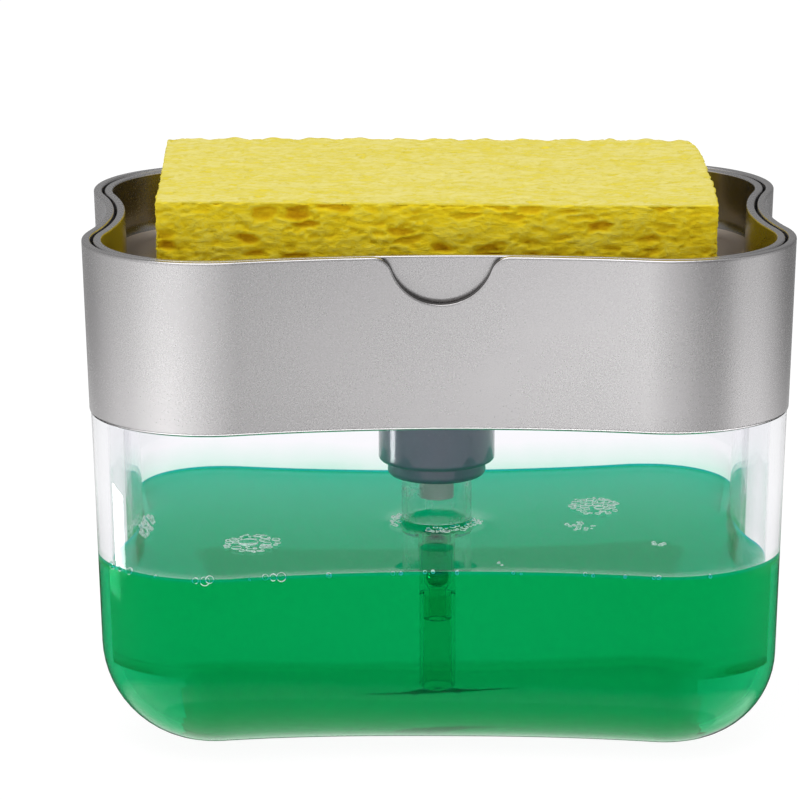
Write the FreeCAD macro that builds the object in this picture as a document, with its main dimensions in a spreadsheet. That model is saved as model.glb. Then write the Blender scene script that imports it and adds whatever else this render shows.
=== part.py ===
import FreeCAD, Part
import math
import os

import Sketcher

# Soap pump caddy: a clear lobed reservoir, a satin collar with a drop-in sponge
# tray, and a press pump on the centre line.  +Z is up, the origin is the middle
# of the base on the surface it stands on, -Y is the front with the finger notch.
# All lengths in millimetres.

doc = FreeCAD.newDocument("soap_pump_caddy")
sheet = doc.addObject("Spreadsheet::Sheet", "dims")

SIZES = [
    # overall outline: four round lobes joined by four shallow hollows
    ("body_w", 139.7, "width over the side lobes"),
    ("body_d", 100.0, "depth over the front and back lobes"),
    ("body_top", 101.6, "height of the rim"),
    ("corner_rad", 25.07, "radius of a lobe at the rim"),
    ("side_dip", 3.55, "depth of the hollow in a side"),
    ("front_dip", 4.77, "depth of the hollow in front and back"),
    # reservoir
    ("shoulder_z", 67.30, "shoulder that the collar stands on"),
    ("tank_in_top", 1.32, "inset of the reservoir at the shoulder"),
    ("tank_in_base", 3.35, "inset of the reservoir at the base"),
    ("tank_base_rad", 19.0, "round of the base edge"),
    ("tank_wall", 2.4, "wall and floor thickness"),
    ("tank_floor_rad", 16.7, "round of the cavity floor"),
    ("neck_in", 3.0, "inset of the neck"),
    ("neck_wall", 1.3, "wall of the neck"),
    ("neck_z", 73.0, "top of the neck"),
    ("foot_w", 84.0, "width of the recess under the base"),
    ("foot_d", 46.0, "depth of the recess under the base, front to back"),
    ("foot_rad", 7.0, "corner radius of that recess"),
    ("foot_up", 0.6, "height of that recess"),
    # liquid
    ("soap_z", 37.9, "level of the liquid"),
    ("soap_gap", 0.1, "film between liquid and wall"),
    ("soap_barrel_rad", 7.65, "hole round the barrel"),
    ("soap_tube_rad", 4.3, "hole round the suction tube"),
    ("soap_step_z", 29.5, "change between the two holes"),
    ("soap_hole_z", 4.4, "bottom of the hole"),
    # collar
    ("seam_z", 67.37, "lower edge of the collar"),
    ("collar_draft", 1.03, "extra inset of the collar at its lower edge"),
    ("collar_wall", 1.65, "wall of the collar"),
    ("collar_edge", 0.4, "round of the rim's edges"),
    ("notch_rad", 10.0, "radius of the finger notch"),
    ("notch_z", 102.25, "centre height of the finger notch"),
    ("notch_ease", 4.0, "radius of the notch's shoulders"),
    # deck
    ("deck_z", 73.05, "underside of the deck plate"),
    ("deck_top", 75.0, "top of the deck plate"),
    ("skirt_top", 78.4, "top of the deck's edge wall"),
    ("deck_in", 2.56, "inset of the deck's edge"),
    ("skirt_wall", 1.24, "thickness of the edge wall"),
    ("plug_in", 4.6, "inset of the plug rib in the neck"),
    ("plug_wall", 1.2, "thickness of the plug rib"),
    ("plug_z", 69.5, "lower edge of the plug rib"),
    ("boss_rad", 10.15, "pump boss"),
    ("boss_bore", 7.7, "bore of the pump boss"),
    ("boss_z", 56.2, "lower end of the boss"),
    ("bead_z", 61.0, "snap bead on the boss"),
    ("bead_up", 1.2, "height of the bead"),
    ("bead_out", 0.3, "how far the bead stands out"),
    # retainer cap
    ("cap_rad", 11.85, "upper band of the cap"),
    ("cap_low_rad", 10.0, "lower band of the cap"),
    ("cap_low_z", 47.7, "lower end of the cap"),
    ("cap_step_z", 50.8, "step between the bands"),
    ("cap_seat_z", 53.4, "seat for the cylinder flange"),
    ("cap_top", 66.0, "upper end of the cap"),
    ("cap_bore", 10.25, "bore of the cap"),
    ("cap_hole", 7.3, "hole for the barrel"),
    ("cap_edge", 0.8, "round of the lower edge"),
    # cylinder
    ("flange_rad", 10.1, "cylinder flange"),
    ("flange_top", 55.0, "top of the flange"),
    ("barrel_rad", 7.15, "barrel outside"),
    ("barrel_bore", 5.95, "barrel inside"),
    ("barrel_top", 62.0, "upper end of the barrel"),
    ("barrel_low_z", 32.4, "lower end of the straight barrel"),
    ("barrel_floor_z", 34.6, "inside floor at the wall"),
    ("valve_rad", 3.8, "valve chamber outside"),
    ("valve_bore", 2.65, "valve chamber inside"),
    ("valve_top", 30.6, "upper end of the valve chamber outside"),
    ("valve_floor", 33.0, "mouth of the valve chamber"),
    ("valve_low_z", 24.5, "lower end of the valve chamber"),
    ("seat_z", 26.2, "small end of the ball seat"),
    ("spigot_rad", 2.85, "spigot outside"),
    ("spigot_bore", 1.7, "spigot bore"),
    ("spigot_z", 19.0, "lower end of the spigot"),
    ("ball_in_rad", 2.4, "inlet ball"),
    ("ball_in_z", 27.95, "centre of the inlet ball"),
    ("keeper_z", 32.0, "lower face of the ball retainer"),
    ("keeper_up", 1.0, "height of the ball retainer"),
    ("keeper_rad", 2.6, "ball retainer outside"),
    ("keeper_bore", 1.5, "ball retainer bore"),
    ("tube_rad", 3.8, "suction tube outside"),
    ("tube_bore", 2.9, "suction tube inside"),
    ("tube_top", 24.4, "upper end of the suction tube"),
    ("tube_z", 5.0, "lower end of the suction tube"),
    # gasket and guide
    ("gasket_z", 55.05, "lower face of the gasket"),
    ("gasket_up", 1.1, "thickness of the gasket"),
    ("gasket_rad", 10.05, "gasket outside"),
    ("gasket_bore", 7.3, "gasket bore"),
    ("guide_z", 54.3, "lower end of the stem guide"),
    ("guide_rad", 5.9, "stem guide plug"),
    ("guide_head_rad", 7.15, "stem guide head"),
    ("guide_head_z", 62.05, "underside of the guide head"),
    ("guide_top", 63.2, "top of the guide head"),
    ("guide_bore", 3.28, "stem guide bore"),
    # spring
    ("spring_rad", 5.25, "mean radius of the spring"),
    ("wire_rad", 0.5, "spring wire"),
    ("spring_z", 63.75, "lowest wire centre"),
    ("spring_tall", 18.75, "height between end wire centres"),
    ("spring_turns", 7.0, "turns"),
    # stem
    ("stem_rad", 3.2, "stem outside"),
    ("stem_bore", 1.7, "stem bore"),
    ("stem_z", 43.0, "lower end of the stem"),
    ("tail_rad", 3.5, "foot under the piston"),
    ("tail_top", 47.4, "top of that foot"),
    ("land_rad", 2.8, "land that carries the piston"),
    ("land_top", 54.05, "top of that land"),
    ("head_z", 80.0, "underside of the head"),
    ("head_rad", 4.4, "head outside"),
    ("head_top", 88.0, "top of the head"),
    ("rest_rad", 7.2, "flange that the tray rests on"),
    ("rest_z", 83.1, "underside of that flange"),
    ("rest_top", 84.7, "top of that flange"),
    ("out_seat_z", 81.3, "small end of the outlet seat"),
    ("out_bore", 2.45, "outlet chamber"),
    ("nozzle_seat_z", 86.0, "seat of the nozzle cap"),
    ("nozzle_bore", 3.0, "bore for the nozzle cap"),
    ("ring_z", 87.35, "centre height of the O-ring"),
    ("ring_groove_rad", 3.75, "root of the O-ring groove"),
    ("ring_groove_up", 1.0, "width of that groove"),
    ("ring_rad", 4.2, "mean radius of the O-ring"),
    ("ring_wire", 0.42, "section radius of the O-ring"),
    ("ball_out_rad", 2.2, "outlet ball"),
    ("ball_out_z", 82.77, "centre of the outlet ball"),
    # piston
    ("piston_rad", 5.9, "piston lips"),
    ("piston_waist", 5.2, "piston between its lips"),
    ("piston_bore", 2.85, "piston bore"),
    ("piston_z", 47.5, "lower end of the piston"),
    ("piston_top", 54.0, "upper end of the piston"),
    # nozzle cap
    ("nozzle_z", 86.05, "underside of the nozzle cap"),
    ("nozzle_rad", 2.95, "nozzle cap outside"),
    ("nozzle_top", 88.15, "top of the nozzle cap"),
    ("nozzle_hole", 0.8, "outlet hole"),
    # tray
    ("tray_gap", 0.6, "gap between tray and collar"),
    ("tray_wall", 1.6, "wall of the tray"),
    ("tray_z", 86.7, "underside of the tray floor"),
    ("tray_floor", 88.3, "top of the tray floor"),
    ("tray_top", 101.45, "rim of the tray"),
    ("tray_out_rad", 5.0, "outer round of the tray floor"),
    ("tray_in_rad", 3.4, "inner round of the tray floor"),
    ("tray_hole", 4.7, "hole for the stem head"),
    ("tray_edge", 0.35, "round of the tray rim"),
    ("hub_z", 84.75, "underside of the tray hub"),
    ("hub_top", 86.65, "top of the tray hub"),
    ("hub_rad", 8.2, "tray hub outside"),
    # sponge
    ("sponge_w", 110.0, "sponge length"),
    ("sponge_d", 67.0, "sponge width"),
    ("sponge_z", 88.4, "underside of the sponge"),
    ("sponge_up", 21.3, "sponge thickness"),
    ("sponge_x", -0.4, "sponge centre, left or right"),
    ("sponge_edge", 1.2, "round of the sponge edges"),
]

VALUE = {}
for row, (alias, number, note) in enumerate(SIZES, 1):
    sheet.set("A%d" % row, alias)
    sheet.set("B%d" % row, repr(number))
    sheet.setAlias("B%d" % row, alias)
    sheet.set("C%d" % row, note)
    VALUE[alias] = float(number)
doc.recompute()


class Dim:
    """A length: its expression on the sheet beside its present value."""

    def __init__(self, text, value):
        self.text = text
        self.value = float(value)

    def __add__(self, other):
        other = dim(other)
        return Dim("(%s + %s)" % (self.text, other.text), self.value + other.value)

    def __sub__(self, other):
        other = dim(other)
        return Dim("(%s - %s)" % (self.text, other.text), self.value - other.value)

    def __mul__(self, other):
        other = dim(other)
        return Dim("(%s * %s)" % (self.text, other.text), self.value * other.value)

    def __truediv__(self, other):
        other = dim(other)
        return Dim("(%s / %s)" % (self.text, other.text), self.value / other.value)


def dim(item):
    """A Dim from a Dim, a sheet alias or a plain number."""
    if isinstance(item, Dim):
        return item
    if isinstance(item, str):
        return Dim("dims." + item, VALUE[item])
    return Dim(repr(float(item)), item)


# ---- the outline that every shell shares -------------------------------------

CX = dim("body_w") / 2 - "corner_rad"
CY = dim("body_d") / 2 - "corner_rad"
SIDE_RAD = (dim("side_dip") * "side_dip" + CY * CY) / (dim("side_dip") * 2) - "corner_rad"
FRONT_RAD = (dim("front_dip") * "front_dip" + CX * CX) / (dim("front_dip") * 2) - "corner_rad"
SIDE_X = dim("body_w") / 2 - "side_dip" + SIDE_RAD
FRONT_Y = dim("body_d") / 2 - "front_dip" + FRONT_RAD


def origin_plane(body, role):
    for feature in body.Origin.OriginFeatures:
        if feature.Role == role:
            return feature
    raise RuntimeError("no plane " + role)


def new_body(label):
    body = doc.addObject("PartDesign::Body", label)
    body.Label = label
    return body


def new_sketch(body, name, role="XY_Plane", level=None):
    sketch = body.newObject("Sketcher::SketchObject", name)
    sketch.AttachmentSupport = [(origin_plane(body, role), "")]
    sketch.MapMode = "FlatFace"
    if level is not None:
        sketch.setExpression("AttachmentOffset.Base.z", dim(level).text)
    return sketch


def bind(sketch, kind, refs, length):
    """A driving length in a sketch, bound to the sheet."""
    index = sketch.addConstraint(Sketcher.Constraint(kind, *refs, dim(length).value))
    sketch.setExpression("Constraints[%d]" % index, dim(length).text)


def add_outline(sketch, inset):
    """Four lobes and four hollows, tangent end to end, moved inward by inset."""
    inset = dim(inset)
    lobe = dim("corner_rad") - inset
    side = SIDE_RAD + inset
    front = FRONT_RAD + inset
    cx, cy, sx, fy = CX.value, CY.value, SIDE_X.value, FRONT_Y.value
    z = FreeCAD.Vector(0, 0, 1)
    low = math.atan2(-cy, sx - cx)
    high = math.atan2(fy - cy, -cx)
    lobes = []
    spans = [(cx, cy, low, high), (-cx, cy, math.pi - high, math.pi - low),
             (-cx, -cy, math.pi + low, math.pi + high), (cx, -cy, -high, -low)]
    for x, y, start, end in spans:
        circle = Part.Circle(FreeCAD.Vector(x, y, 0), z, lobe.value)
        lobes.append(sketch.addGeometry(Part.ArcOfCircle(circle, start, end), False))
    hollows = []
    half_f = math.atan2(cx, fy - cy)
    half_s = math.atan2(cy, sx - cx)
    arcs = [(0, fy, front.value, 1.5 * math.pi, half_f), (-sx, 0, side.value, 0.0, half_s),
            (0, -fy, front.value, 0.5 * math.pi, half_f), (sx, 0, side.value, math.pi, half_s)]
    for x, y, rad, mid, half in arcs:
        circle = Part.Circle(FreeCAD.Vector(x, y, 0), z, rad)
        hollows.append(sketch.addGeometry(Part.ArcOfCircle(circle, mid - half, mid + half), False))
    for i in range(4):
        sketch.addConstraint(Sketcher.Constraint("Tangent", lobes[i], 2, hollows[i], 2))
        sketch.addConstraint(Sketcher.Constraint("Tangent", hollows[i], 1, lobes[(i + 1) % 4], 1))
    bind(sketch, "DistanceX", (-1, 1, lobes[0], 3), CX)
    bind(sketch, "DistanceY", (-1, 1, lobes[0], 3), CY)
    sketch.addConstraint(Sketcher.Constraint("Symmetric", lobes[0], 3, lobes[1], 3, -2))
    sketch.addConstraint(Sketcher.Constraint("Symmetric", lobes[0], 3, lobes[2], 3, -1, 1))
    sketch.addConstraint(Sketcher.Constraint("Symmetric", lobes[0], 3, lobes[3], 3, -1))
    bind(sketch, "Radius", (lobes[0],), lobe)
    for i in (1, 2, 3):
        sketch.addConstraint(Sketcher.Constraint("Equal", lobes[0], lobes[i]))
    bind(sketch, "Radius", (hollows[0],), front)
    sketch.addConstraint(Sketcher.Constraint("Equal", hollows[0], hollows[2]))
    bind(sketch, "Radius", (hollows[1],), side)
    sketch.addConstraint(Sketcher.Constraint("Equal", hollows[1], hollows[3]))


def outline(body, name, level, *insets):
    sketch = new_sketch(body, name, "XY_Plane", level)
    for inset in insets:
        add_outline(sketch, inset)
    return sketch


def add_circle(sketch, radius):
    circle = sketch.addGeometry(Part.Circle(FreeCAD.Vector(0, 0, 0), FreeCAD.Vector(0, 0, 1), dim(radius).value), False)
    sketch.addConstraint(Sketcher.Constraint("Coincident", circle, 3, -1, 1))
    bind(sketch, "Radius", (circle,), radius)


def settled(feature):
    """Recomputes, and stops at the first feature that fails."""
    doc.recompute()
    if "Invalid" in feature.State or "Error" in feature.State or feature.Shape.isNull() or not feature.Shape.isValid():
        raise RuntimeError("%s fails: %s" % (feature.Name, feature.getStatusString()))
    return feature


def pad(body, name, sketch, length, down=False):
    feature = body.newObject("PartDesign::Pad", name)
    feature.Profile = sketch
    feature.setExpression("Length", dim(length).text)
    feature.Reversed = down
    return settled(feature)


def pocket(body, name, sketch, length, up=False):
    before = body.Tip.Shape.Volume
    feature = body.newObject("PartDesign::Pocket", name)
    feature.Profile = sketch
    feature.setExpression("Length", dim(length).text)
    feature.Reversed = up
    settled(feature)
    if body.Tip.Shape.Volume > before - 1e-6:
        raise RuntimeError(body.Label + ": " + name + " cuts nothing")
    return feature


def profile(body, name, points):
    """A closed polygon of (radius, height) points, each bound to the sheet."""
    sketch = new_sketch(body, name, "XZ_Plane")
    pts = [(dim(r), dim(h)) for r, h in points]
    count = len(pts)
    lines = []
    for i in range(count):
        (r0, h0), (r1, h1) = pts[i], pts[(i + 1) % count]
        lines.append(sketch.addGeometry(Part.LineSegment(FreeCAD.Vector(r0.value, h0.value, 0),
                                                        FreeCAD.Vector(r1.value, h1.value, 0)), False))
    for i in range(count):
        sketch.addConstraint(Sketcher.Constraint("Coincident", lines[i], 2, lines[(i + 1) % count], 1))
    for i, (r, h) in enumerate(pts):
        if abs(r.value) < 1e-9:
            sketch.addConstraint(Sketcher.Constraint("PointOnObject", lines[i], 1, -2))
        else:
            bind(sketch, "DistanceX", (-1, 1, lines[i], 1), r)
        bind(sketch, "DistanceY", (-1, 1, lines[i], 1), h)
    return sketch


def turn(body, name, points, cut=False):
    """A turned feature about the pump's axis."""
    sketch = profile(body, name + "_profile", points)
    before = body.Tip.Shape.Volume if (cut and body.Tip) else 0.0
    feature = body.newObject("PartDesign::Groove" if cut else "PartDesign::Revolution", name)
    feature.Profile = sketch
    feature.ReferenceAxis = (sketch, ["V_Axis"])
    feature.Angle = 360.0
    settled(feature)
    if cut and body.Tip.Shape.Volume > before - 1e-6:
        raise RuntimeError(body.Label + ": " + name + " cuts nothing")
    return feature


def at_height(height, near=None):
    """Picks edges that lie flat at a height, all of them or those near a radius."""
    height = dim(height).value

    def test(edge):
        box = edge.BoundBox
        if abs(box.ZMin - height) > 1e-3 or abs(box.ZMax - height) > 1e-3:
            return False
        if near is None:
            return True
        return abs(box.XMax - dim(near).value) < 1e-3
    return test


def fillet(body, name, radius, *tests):
    base = body.Tip
    names = ["Edge%d" % (i + 1) for i, edge in enumerate(base.Shape.Edges) if any(t(edge) for t in tests)]
    if not names:
        raise RuntimeError(body.Label + ": " + name + " finds no edge")
    feature = body.newObject("PartDesign::Fillet", name)
    feature.Base = (base, names)
    feature.setExpression("Radius", dim(radius).text)
    return settled(feature)


def flat_face(feature, height):
    """The flat face of a feature at a height."""
    for i, face in enumerate(feature.Shape.Faces):
        box = face.BoundBox
        if abs(box.ZMin - height) < 1e-4 and abs(box.ZMax - height) < 1e-4:
            return "Face%d" % (i + 1)
    raise RuntimeError("%s has no flat face at %.3f" % (feature.Name, height))


def taper(body, name, low, high, run, keep, turned):
    """Leans the upright faces between two heights, run over the height, about the kept height."""
    base = body.Tip
    low, high, keep = dim(low), dim(high), dim(keep)
    names = []
    for i, face in enumerate(base.Shape.Faces):
        box = face.BoundBox
        if face.Surface.TypeId == "Part::GeomCylinder" and abs(box.ZMin - low.value) < 1e-3 and abs(box.ZMax - high.value) < 1e-3:
            names.append("Face%d" % (i + 1))
    if len(names) != 8:
        raise RuntimeError("%s finds %d faces" % (name, len(names)))
    feature = body.newObject("PartDesign::Draft", name)
    feature.Base = (base, names)
    feature.NeutralPlane = (base, [flat_face(base, keep.value)])
    feature.setExpression("Angle", "atan(%s / %s)" % (dim(run).text, (high - low).text))
    feature.Reversed = turned
    return settled(feature)


def shell(body, name, low, high, low_inset, high_inset):
    """A lobed block that widens upwards, from one inset at the low level to another at the high one."""
    pad(body, name, outline(body, name + "_outline", low, low_inset), dim(high) - low)
    taper(body, name + "_lean", low, high, dim(low_inset) - high_inset, low, True)
    widest(body, high, high_inset)


def hollow(body, name, low, high, low_inset, high_inset):
    """A lobed hollow that widens upwards to an open top."""
    pocket(body, name, outline(body, name + "_outline", high, high_inset), dim(high) - low)
    taper(body, name + "_lean", low, high, dim(low_inset) - high_inset, high, False)
    widest(body, low, low_inset)


def widest(body, level, inset):
    """Tests that some flat edge at a level reaches the width that its inset gives."""
    want = VALUE["body_w"] / 2 - dim(inset).value
    level = dim(level).value
    for edge in body.Tip.Shape.Edges:
        box = edge.BoundBox
        if abs(box.ZMin - level) < 1e-3 and abs(box.ZMax - level) < 1e-3 and abs(box.XMax - want) < 2e-3:
            return
    raise RuntimeError("%s: no edge %.3f wide at %.3f" % (body.Label, want, level))


NODES = []

# ---- reservoir ---------------------------------------------------------------

reservoir = new_body("reservoir")
shell(reservoir, "tank_shell", 0.0, "shoulder_z", "tank_in_base", "tank_in_top")
pad(reservoir, "neck", outline(reservoir, "neck_outline", "shoulder_z", "neck_in"), dim("neck_z") - "shoulder_z")
CAVITY_LOW = dim("tank_in_base") + "tank_wall"
CAVITY_TOP = dim("neck_in") + "neck_wall"
hollow(reservoir, "cavity", "tank_wall", "neck_z", CAVITY_LOW, CAVITY_TOP)
fillet(reservoir, "cavity_round", "tank_floor_rad", at_height("tank_wall"))
fillet(reservoir, "tank_base_round", "tank_base_rad", at_height(0.0))


def add_rounded_rectangle(sketch, width, depth, radius):
    """A rounded rectangle centred on the sketch's origin."""
    hw, hd, rad = dim(width) / 2, dim(depth) / 2, dim(radius)
    x, y, r = hw.value, hd.value, rad.value
    z = FreeCAD.Vector(0, 0, 1)
    centres = [(x - r, y - r, 0.0), (-x + r, y - r, 0.5), (-x + r, -y + r, 1.0), (x - r, -y + r, 1.5)]
    arcs = []
    for cx, cy, start in centres:
        circle = Part.Circle(FreeCAD.Vector(cx, cy, 0), z, r)
        arcs.append(sketch.addGeometry(Part.ArcOfCircle(circle, start * math.pi, (start + 0.5) * math.pi), False))
    ends = [((x - r, y), (-x + r, y)), ((-x, y - r), (-x, -y + r)), ((-x + r, -y), (x - r, -y)), ((x, -y + r), (x, y - r))]
    for i, (a, b) in enumerate(ends):
        line = sketch.addGeometry(Part.LineSegment(FreeCAD.Vector(a[0], a[1], 0), FreeCAD.Vector(b[0], b[1], 0)), False)
        sketch.addConstraint(Sketcher.Constraint("Tangent", arcs[i], 2, line, 1))
        sketch.addConstraint(Sketcher.Constraint("Tangent", line, 2, arcs[(i + 1) % 4], 1))
        sketch.addConstraint(Sketcher.Constraint("Horizontal" if i % 2 == 0 else "Vertical", line))
    bind(sketch, "DistanceX", (-1, 1, arcs[0], 3), hw - rad)
    bind(sketch, "DistanceY", (-1, 1, arcs[0], 3), hd - rad)
    sketch.addConstraint(Sketcher.Constraint("Symmetric", arcs[0], 3, arcs[2], 3, -1, 1))
    bind(sketch, "Radius", (arcs[0],), rad)
    for i in (1, 2, 3):
        sketch.addConstraint(Sketcher.Constraint("Equal", arcs[0], arcs[i]))


foot = new_sketch(reservoir, "foot_outline", "XY_Plane", 0.0)
add_rounded_rectangle(foot, "foot_w", "foot_d", "foot_rad")
pocket(reservoir, "foot_recess", foot, "foot_up", up=True)
NODES.append(reservoir)

# ---- liquid soap -------------------------------------------------------------

SOAP_TOP_IN = CAVITY_LOW + (CAVITY_TOP - CAVITY_LOW) * (dim("soap_z") - "tank_wall") / (dim("neck_z") - "tank_wall")
soap = new_body("soap_fill")
shell(soap, "soap_body", dim("tank_wall") + "soap_gap", "soap_z", CAVITY_LOW + "soap_gap", SOAP_TOP_IN + "soap_gap")
fillet(soap, "soap_round", "tank_floor_rad", at_height(dim("tank_wall") + "soap_gap"))
turn(soap, "pump_hole", [(0.0, "soap_hole_z"), ("soap_tube_rad", "soap_hole_z"), ("soap_tube_rad", "soap_step_z"),
                         ("soap_barrel_rad", "soap_step_z"), ("soap_barrel_rad", dim("soap_z") + 1.0),
                         (0.0, dim("soap_z") + 1.0)], cut=True)
NODES.append(soap)

# ---- collar ------------------------------------------------------------------

collar = new_body("collar")
shell(collar, "collar_shell", "seam_z", "body_top", "collar_draft", 0.0)
hollow(collar, "collar_inside", "seam_z", "body_top", dim("collar_draft") + "collar_wall", "collar_wall")

fillet(collar, "rim_edges", "collar_edge", at_height("body_top"))

# finger notch: a round scoop whose shoulders ease into the rim
notch = new_sketch(collar, "notch_outline", "XZ_Plane")
rise = VALUE["notch_z"] - VALUE["body_top"]
ease, scoop = VALUE["notch_ease"], VALUE["notch_rad"]
ease_x = math.sqrt((scoop + ease) ** 2 - (rise + ease) ** 2)
touch = math.atan2(-(rise + ease), ease_x)
Y3 = FreeCAD.Vector(0, 0, 1)
scoop_arc = notch.addGeometry(Part.ArcOfCircle(Part.Circle(FreeCAD.Vector(0, VALUE["notch_z"], 0), Y3, scoop),
                                               math.pi - touch, 2 * math.pi + touch), False)
ease_r = notch.addGeometry(Part.ArcOfCircle(Part.Circle(FreeCAD.Vector(ease_x, VALUE["body_top"] - ease, 0), Y3, ease),
                                            0.5 * math.pi, math.pi + touch), False)
ease_l = notch.addGeometry(Part.ArcOfCircle(Part.Circle(FreeCAD.Vector(-ease_x, VALUE["body_top"] - ease, 0), Y3, ease),
                                            -touch, 0.5 * math.pi), False)
top_z = VALUE["body_top"] + 2.0
up_r = notch.addGeometry(Part.LineSegment(FreeCAD.Vector(ease_x, VALUE["body_top"], 0), FreeCAD.Vector(ease_x, top_z, 0)), False)
lid = notch.addGeometry(Part.LineSegment(FreeCAD.Vector(ease_x, top_z, 0), FreeCAD.Vector(-ease_x, top_z, 0)), False)
up_l = notch.addGeometry(Part.LineSegment(FreeCAD.Vector(-ease_x, top_z, 0), FreeCAD.Vector(-ease_x, VALUE["body_top"], 0)), False)
notch.addConstraint(Sketcher.Constraint("Tangent", scoop_arc, 2, ease_r, 2))
notch.addConstraint(Sketcher.Constraint("Tangent", scoop_arc, 1, ease_l, 1))
notch.addConstraint(Sketcher.Constraint("Coincident", ease_r, 1, up_r, 1))
notch.addConstraint(Sketcher.Constraint("Coincident", up_r, 2, lid, 1))
notch.addConstraint(Sketcher.Constraint("Coincident", lid, 2, up_l, 1))
notch.addConstraint(Sketcher.Constraint("Coincident", up_l, 2, ease_l, 2))
notch.addConstraint(Sketcher.Constraint("Vertical", up_r))
notch.addConstraint(Sketcher.Constraint("Vertical", up_l))
notch.addConstraint(Sketcher.Constraint("Horizontal", lid))
notch.addConstraint(Sketcher.Constraint("PointOnObject", scoop_arc, 3, -2))
bind(notch, "DistanceY", (-1, 1, scoop_arc, 3), "notch_z")
bind(notch, "Radius", (scoop_arc,), "notch_rad")
bind(notch, "Radius", (ease_r,), "notch_ease")
notch.addConstraint(Sketcher.Constraint("Equal", ease_r, ease_l))
bind(notch, "DistanceY", (-1, 1, ease_r, 3), dim("body_top") - "notch_ease")
bind(notch, "DistanceY", (-1, 1, ease_l, 3), dim("body_top") - "notch_ease")
notch.addConstraint(Sketcher.Constraint("Vertical", ease_r, 3, ease_r, 1))
notch.addConstraint(Sketcher.Constraint("Vertical", ease_l, 3, ease_l, 2))
bind(notch, "DistanceY", (-1, 1, lid, 1), dim("body_top") + 2.0)
pocket(collar, "finger_notch", notch, dim("body_d"), up=True)
NODES.append(collar)

# ---- pump deck ---------------------------------------------------------------

deck = new_body("pump_deck")
pad(deck, "deck_plate", outline(deck, "deck_outline", "deck_z", "deck_in"), dim("skirt_top") - "deck_z")
pocket(deck, "deck_well", outline(deck, "well_outline", "skirt_top", dim("deck_in") + "skirt_wall"),
       dim("skirt_top") - "deck_top")
pad(deck, "plug_rib", outline(deck, "plug_outline", "deck_z", "plug_in", dim("plug_in") + "plug_wall"),
    dim("deck_z") - "plug_z", down=True)
turn(deck, "pump_boss", [(2.0, dim("deck_z") + 0.5), (2.0, "boss_z"), ("boss_rad", "boss_z"), ("boss_rad", "bead_z"),
                         (dim("boss_rad") + "bead_out", dim("bead_z") + dim("bead_up") * 0.45),
                         (dim("boss_rad") + "bead_out", dim("bead_z") + dim("bead_up") * 0.55),
                         ("boss_rad", dim("bead_z") + "bead_up"), ("boss_rad", dim("deck_z") + 0.5)])
bore = new_sketch(deck, "boss_bore_outline", "XY_Plane", dim("deck_top") + 1.0)
add_circle(bore, "boss_bore")
pocket(deck, "boss_bore_cut", bore, 30.0)
NODES.append(deck)

# ---- retainer cap ------------------------------------------------------------

cap = new_body("pump_retainer_cap")
turn(cap, "cap_body", [("cap_hole", "cap_low_z"), ("cap_low_rad", "cap_low_z"), ("cap_low_rad", "cap_step_z"),
                       ("cap_rad", "cap_step_z"), ("cap_rad", "cap_top"), ("cap_bore", "cap_top"),
                       ("cap_bore", dim("bead_z") + "bead_up" + 0.3),
                       (dim("cap_bore") + 0.4, dim("bead_z") + "bead_up" - 0.1),
                       (dim("cap_bore") + 0.4, dim("bead_z") + 0.1),
                       ("cap_bore", dim("bead_z") - 0.3), ("cap_bore", "cap_seat_z"), ("cap_hole", "cap_seat_z")])
fillet(cap, "cap_low_edge", "cap_edge", at_height("cap_low_z", "cap_low_rad"))
fillet(cap, "cap_step_edge", dim("cap_edge") * 1.4, at_height("cap_step_z", "cap_rad"))
fillet(cap, "cap_step_root", dim("cap_edge") * 0.6, at_height("cap_step_z", "cap_low_rad"))
NODES.append(cap)

# ---- gasket, cylinder and its valve ------------------------------------------

gasket = new_body("flange_gasket")
turn(gasket, "gasket_ring", [("gasket_bore", "gasket_z"), ("gasket_rad", "gasket_z"),
                             ("gasket_rad", dim("gasket_z") + "gasket_up"), ("gasket_bore", dim("gasket_z") + "gasket_up")])
NODES.append(gasket)

cylinder = new_body("pump_cylinder")
turn(cylinder, "cylinder_body", [
    ("spigot_bore", "spigot_z"), (dim("spigot_rad") - 0.4, "spigot_z"), ("spigot_rad", dim("spigot_z") + 0.8),
    ("spigot_rad", "valve_low_z"), ("valve_rad", "valve_low_z"), ("valve_rad", "valve_top"),
    ("barrel_rad", "barrel_low_z"), ("barrel_rad", "cap_seat_z"), ("flange_rad", "cap_seat_z"),
    ("flange_rad", "flange_top"), ("barrel_rad", "flange_top"), ("barrel_rad", "barrel_top"),
    ("barrel_bore", "barrel_top"), ("barrel_bore", "barrel_floor_z"), ("valve_bore", "valve_floor"),
    ("valve_bore", dim("seat_z") + "valve_bore" - "spigot_bore"), ("spigot_bore", "seat_z")])
NODES.append(cylinder)

inlet = new_body("inlet_ball")


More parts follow.
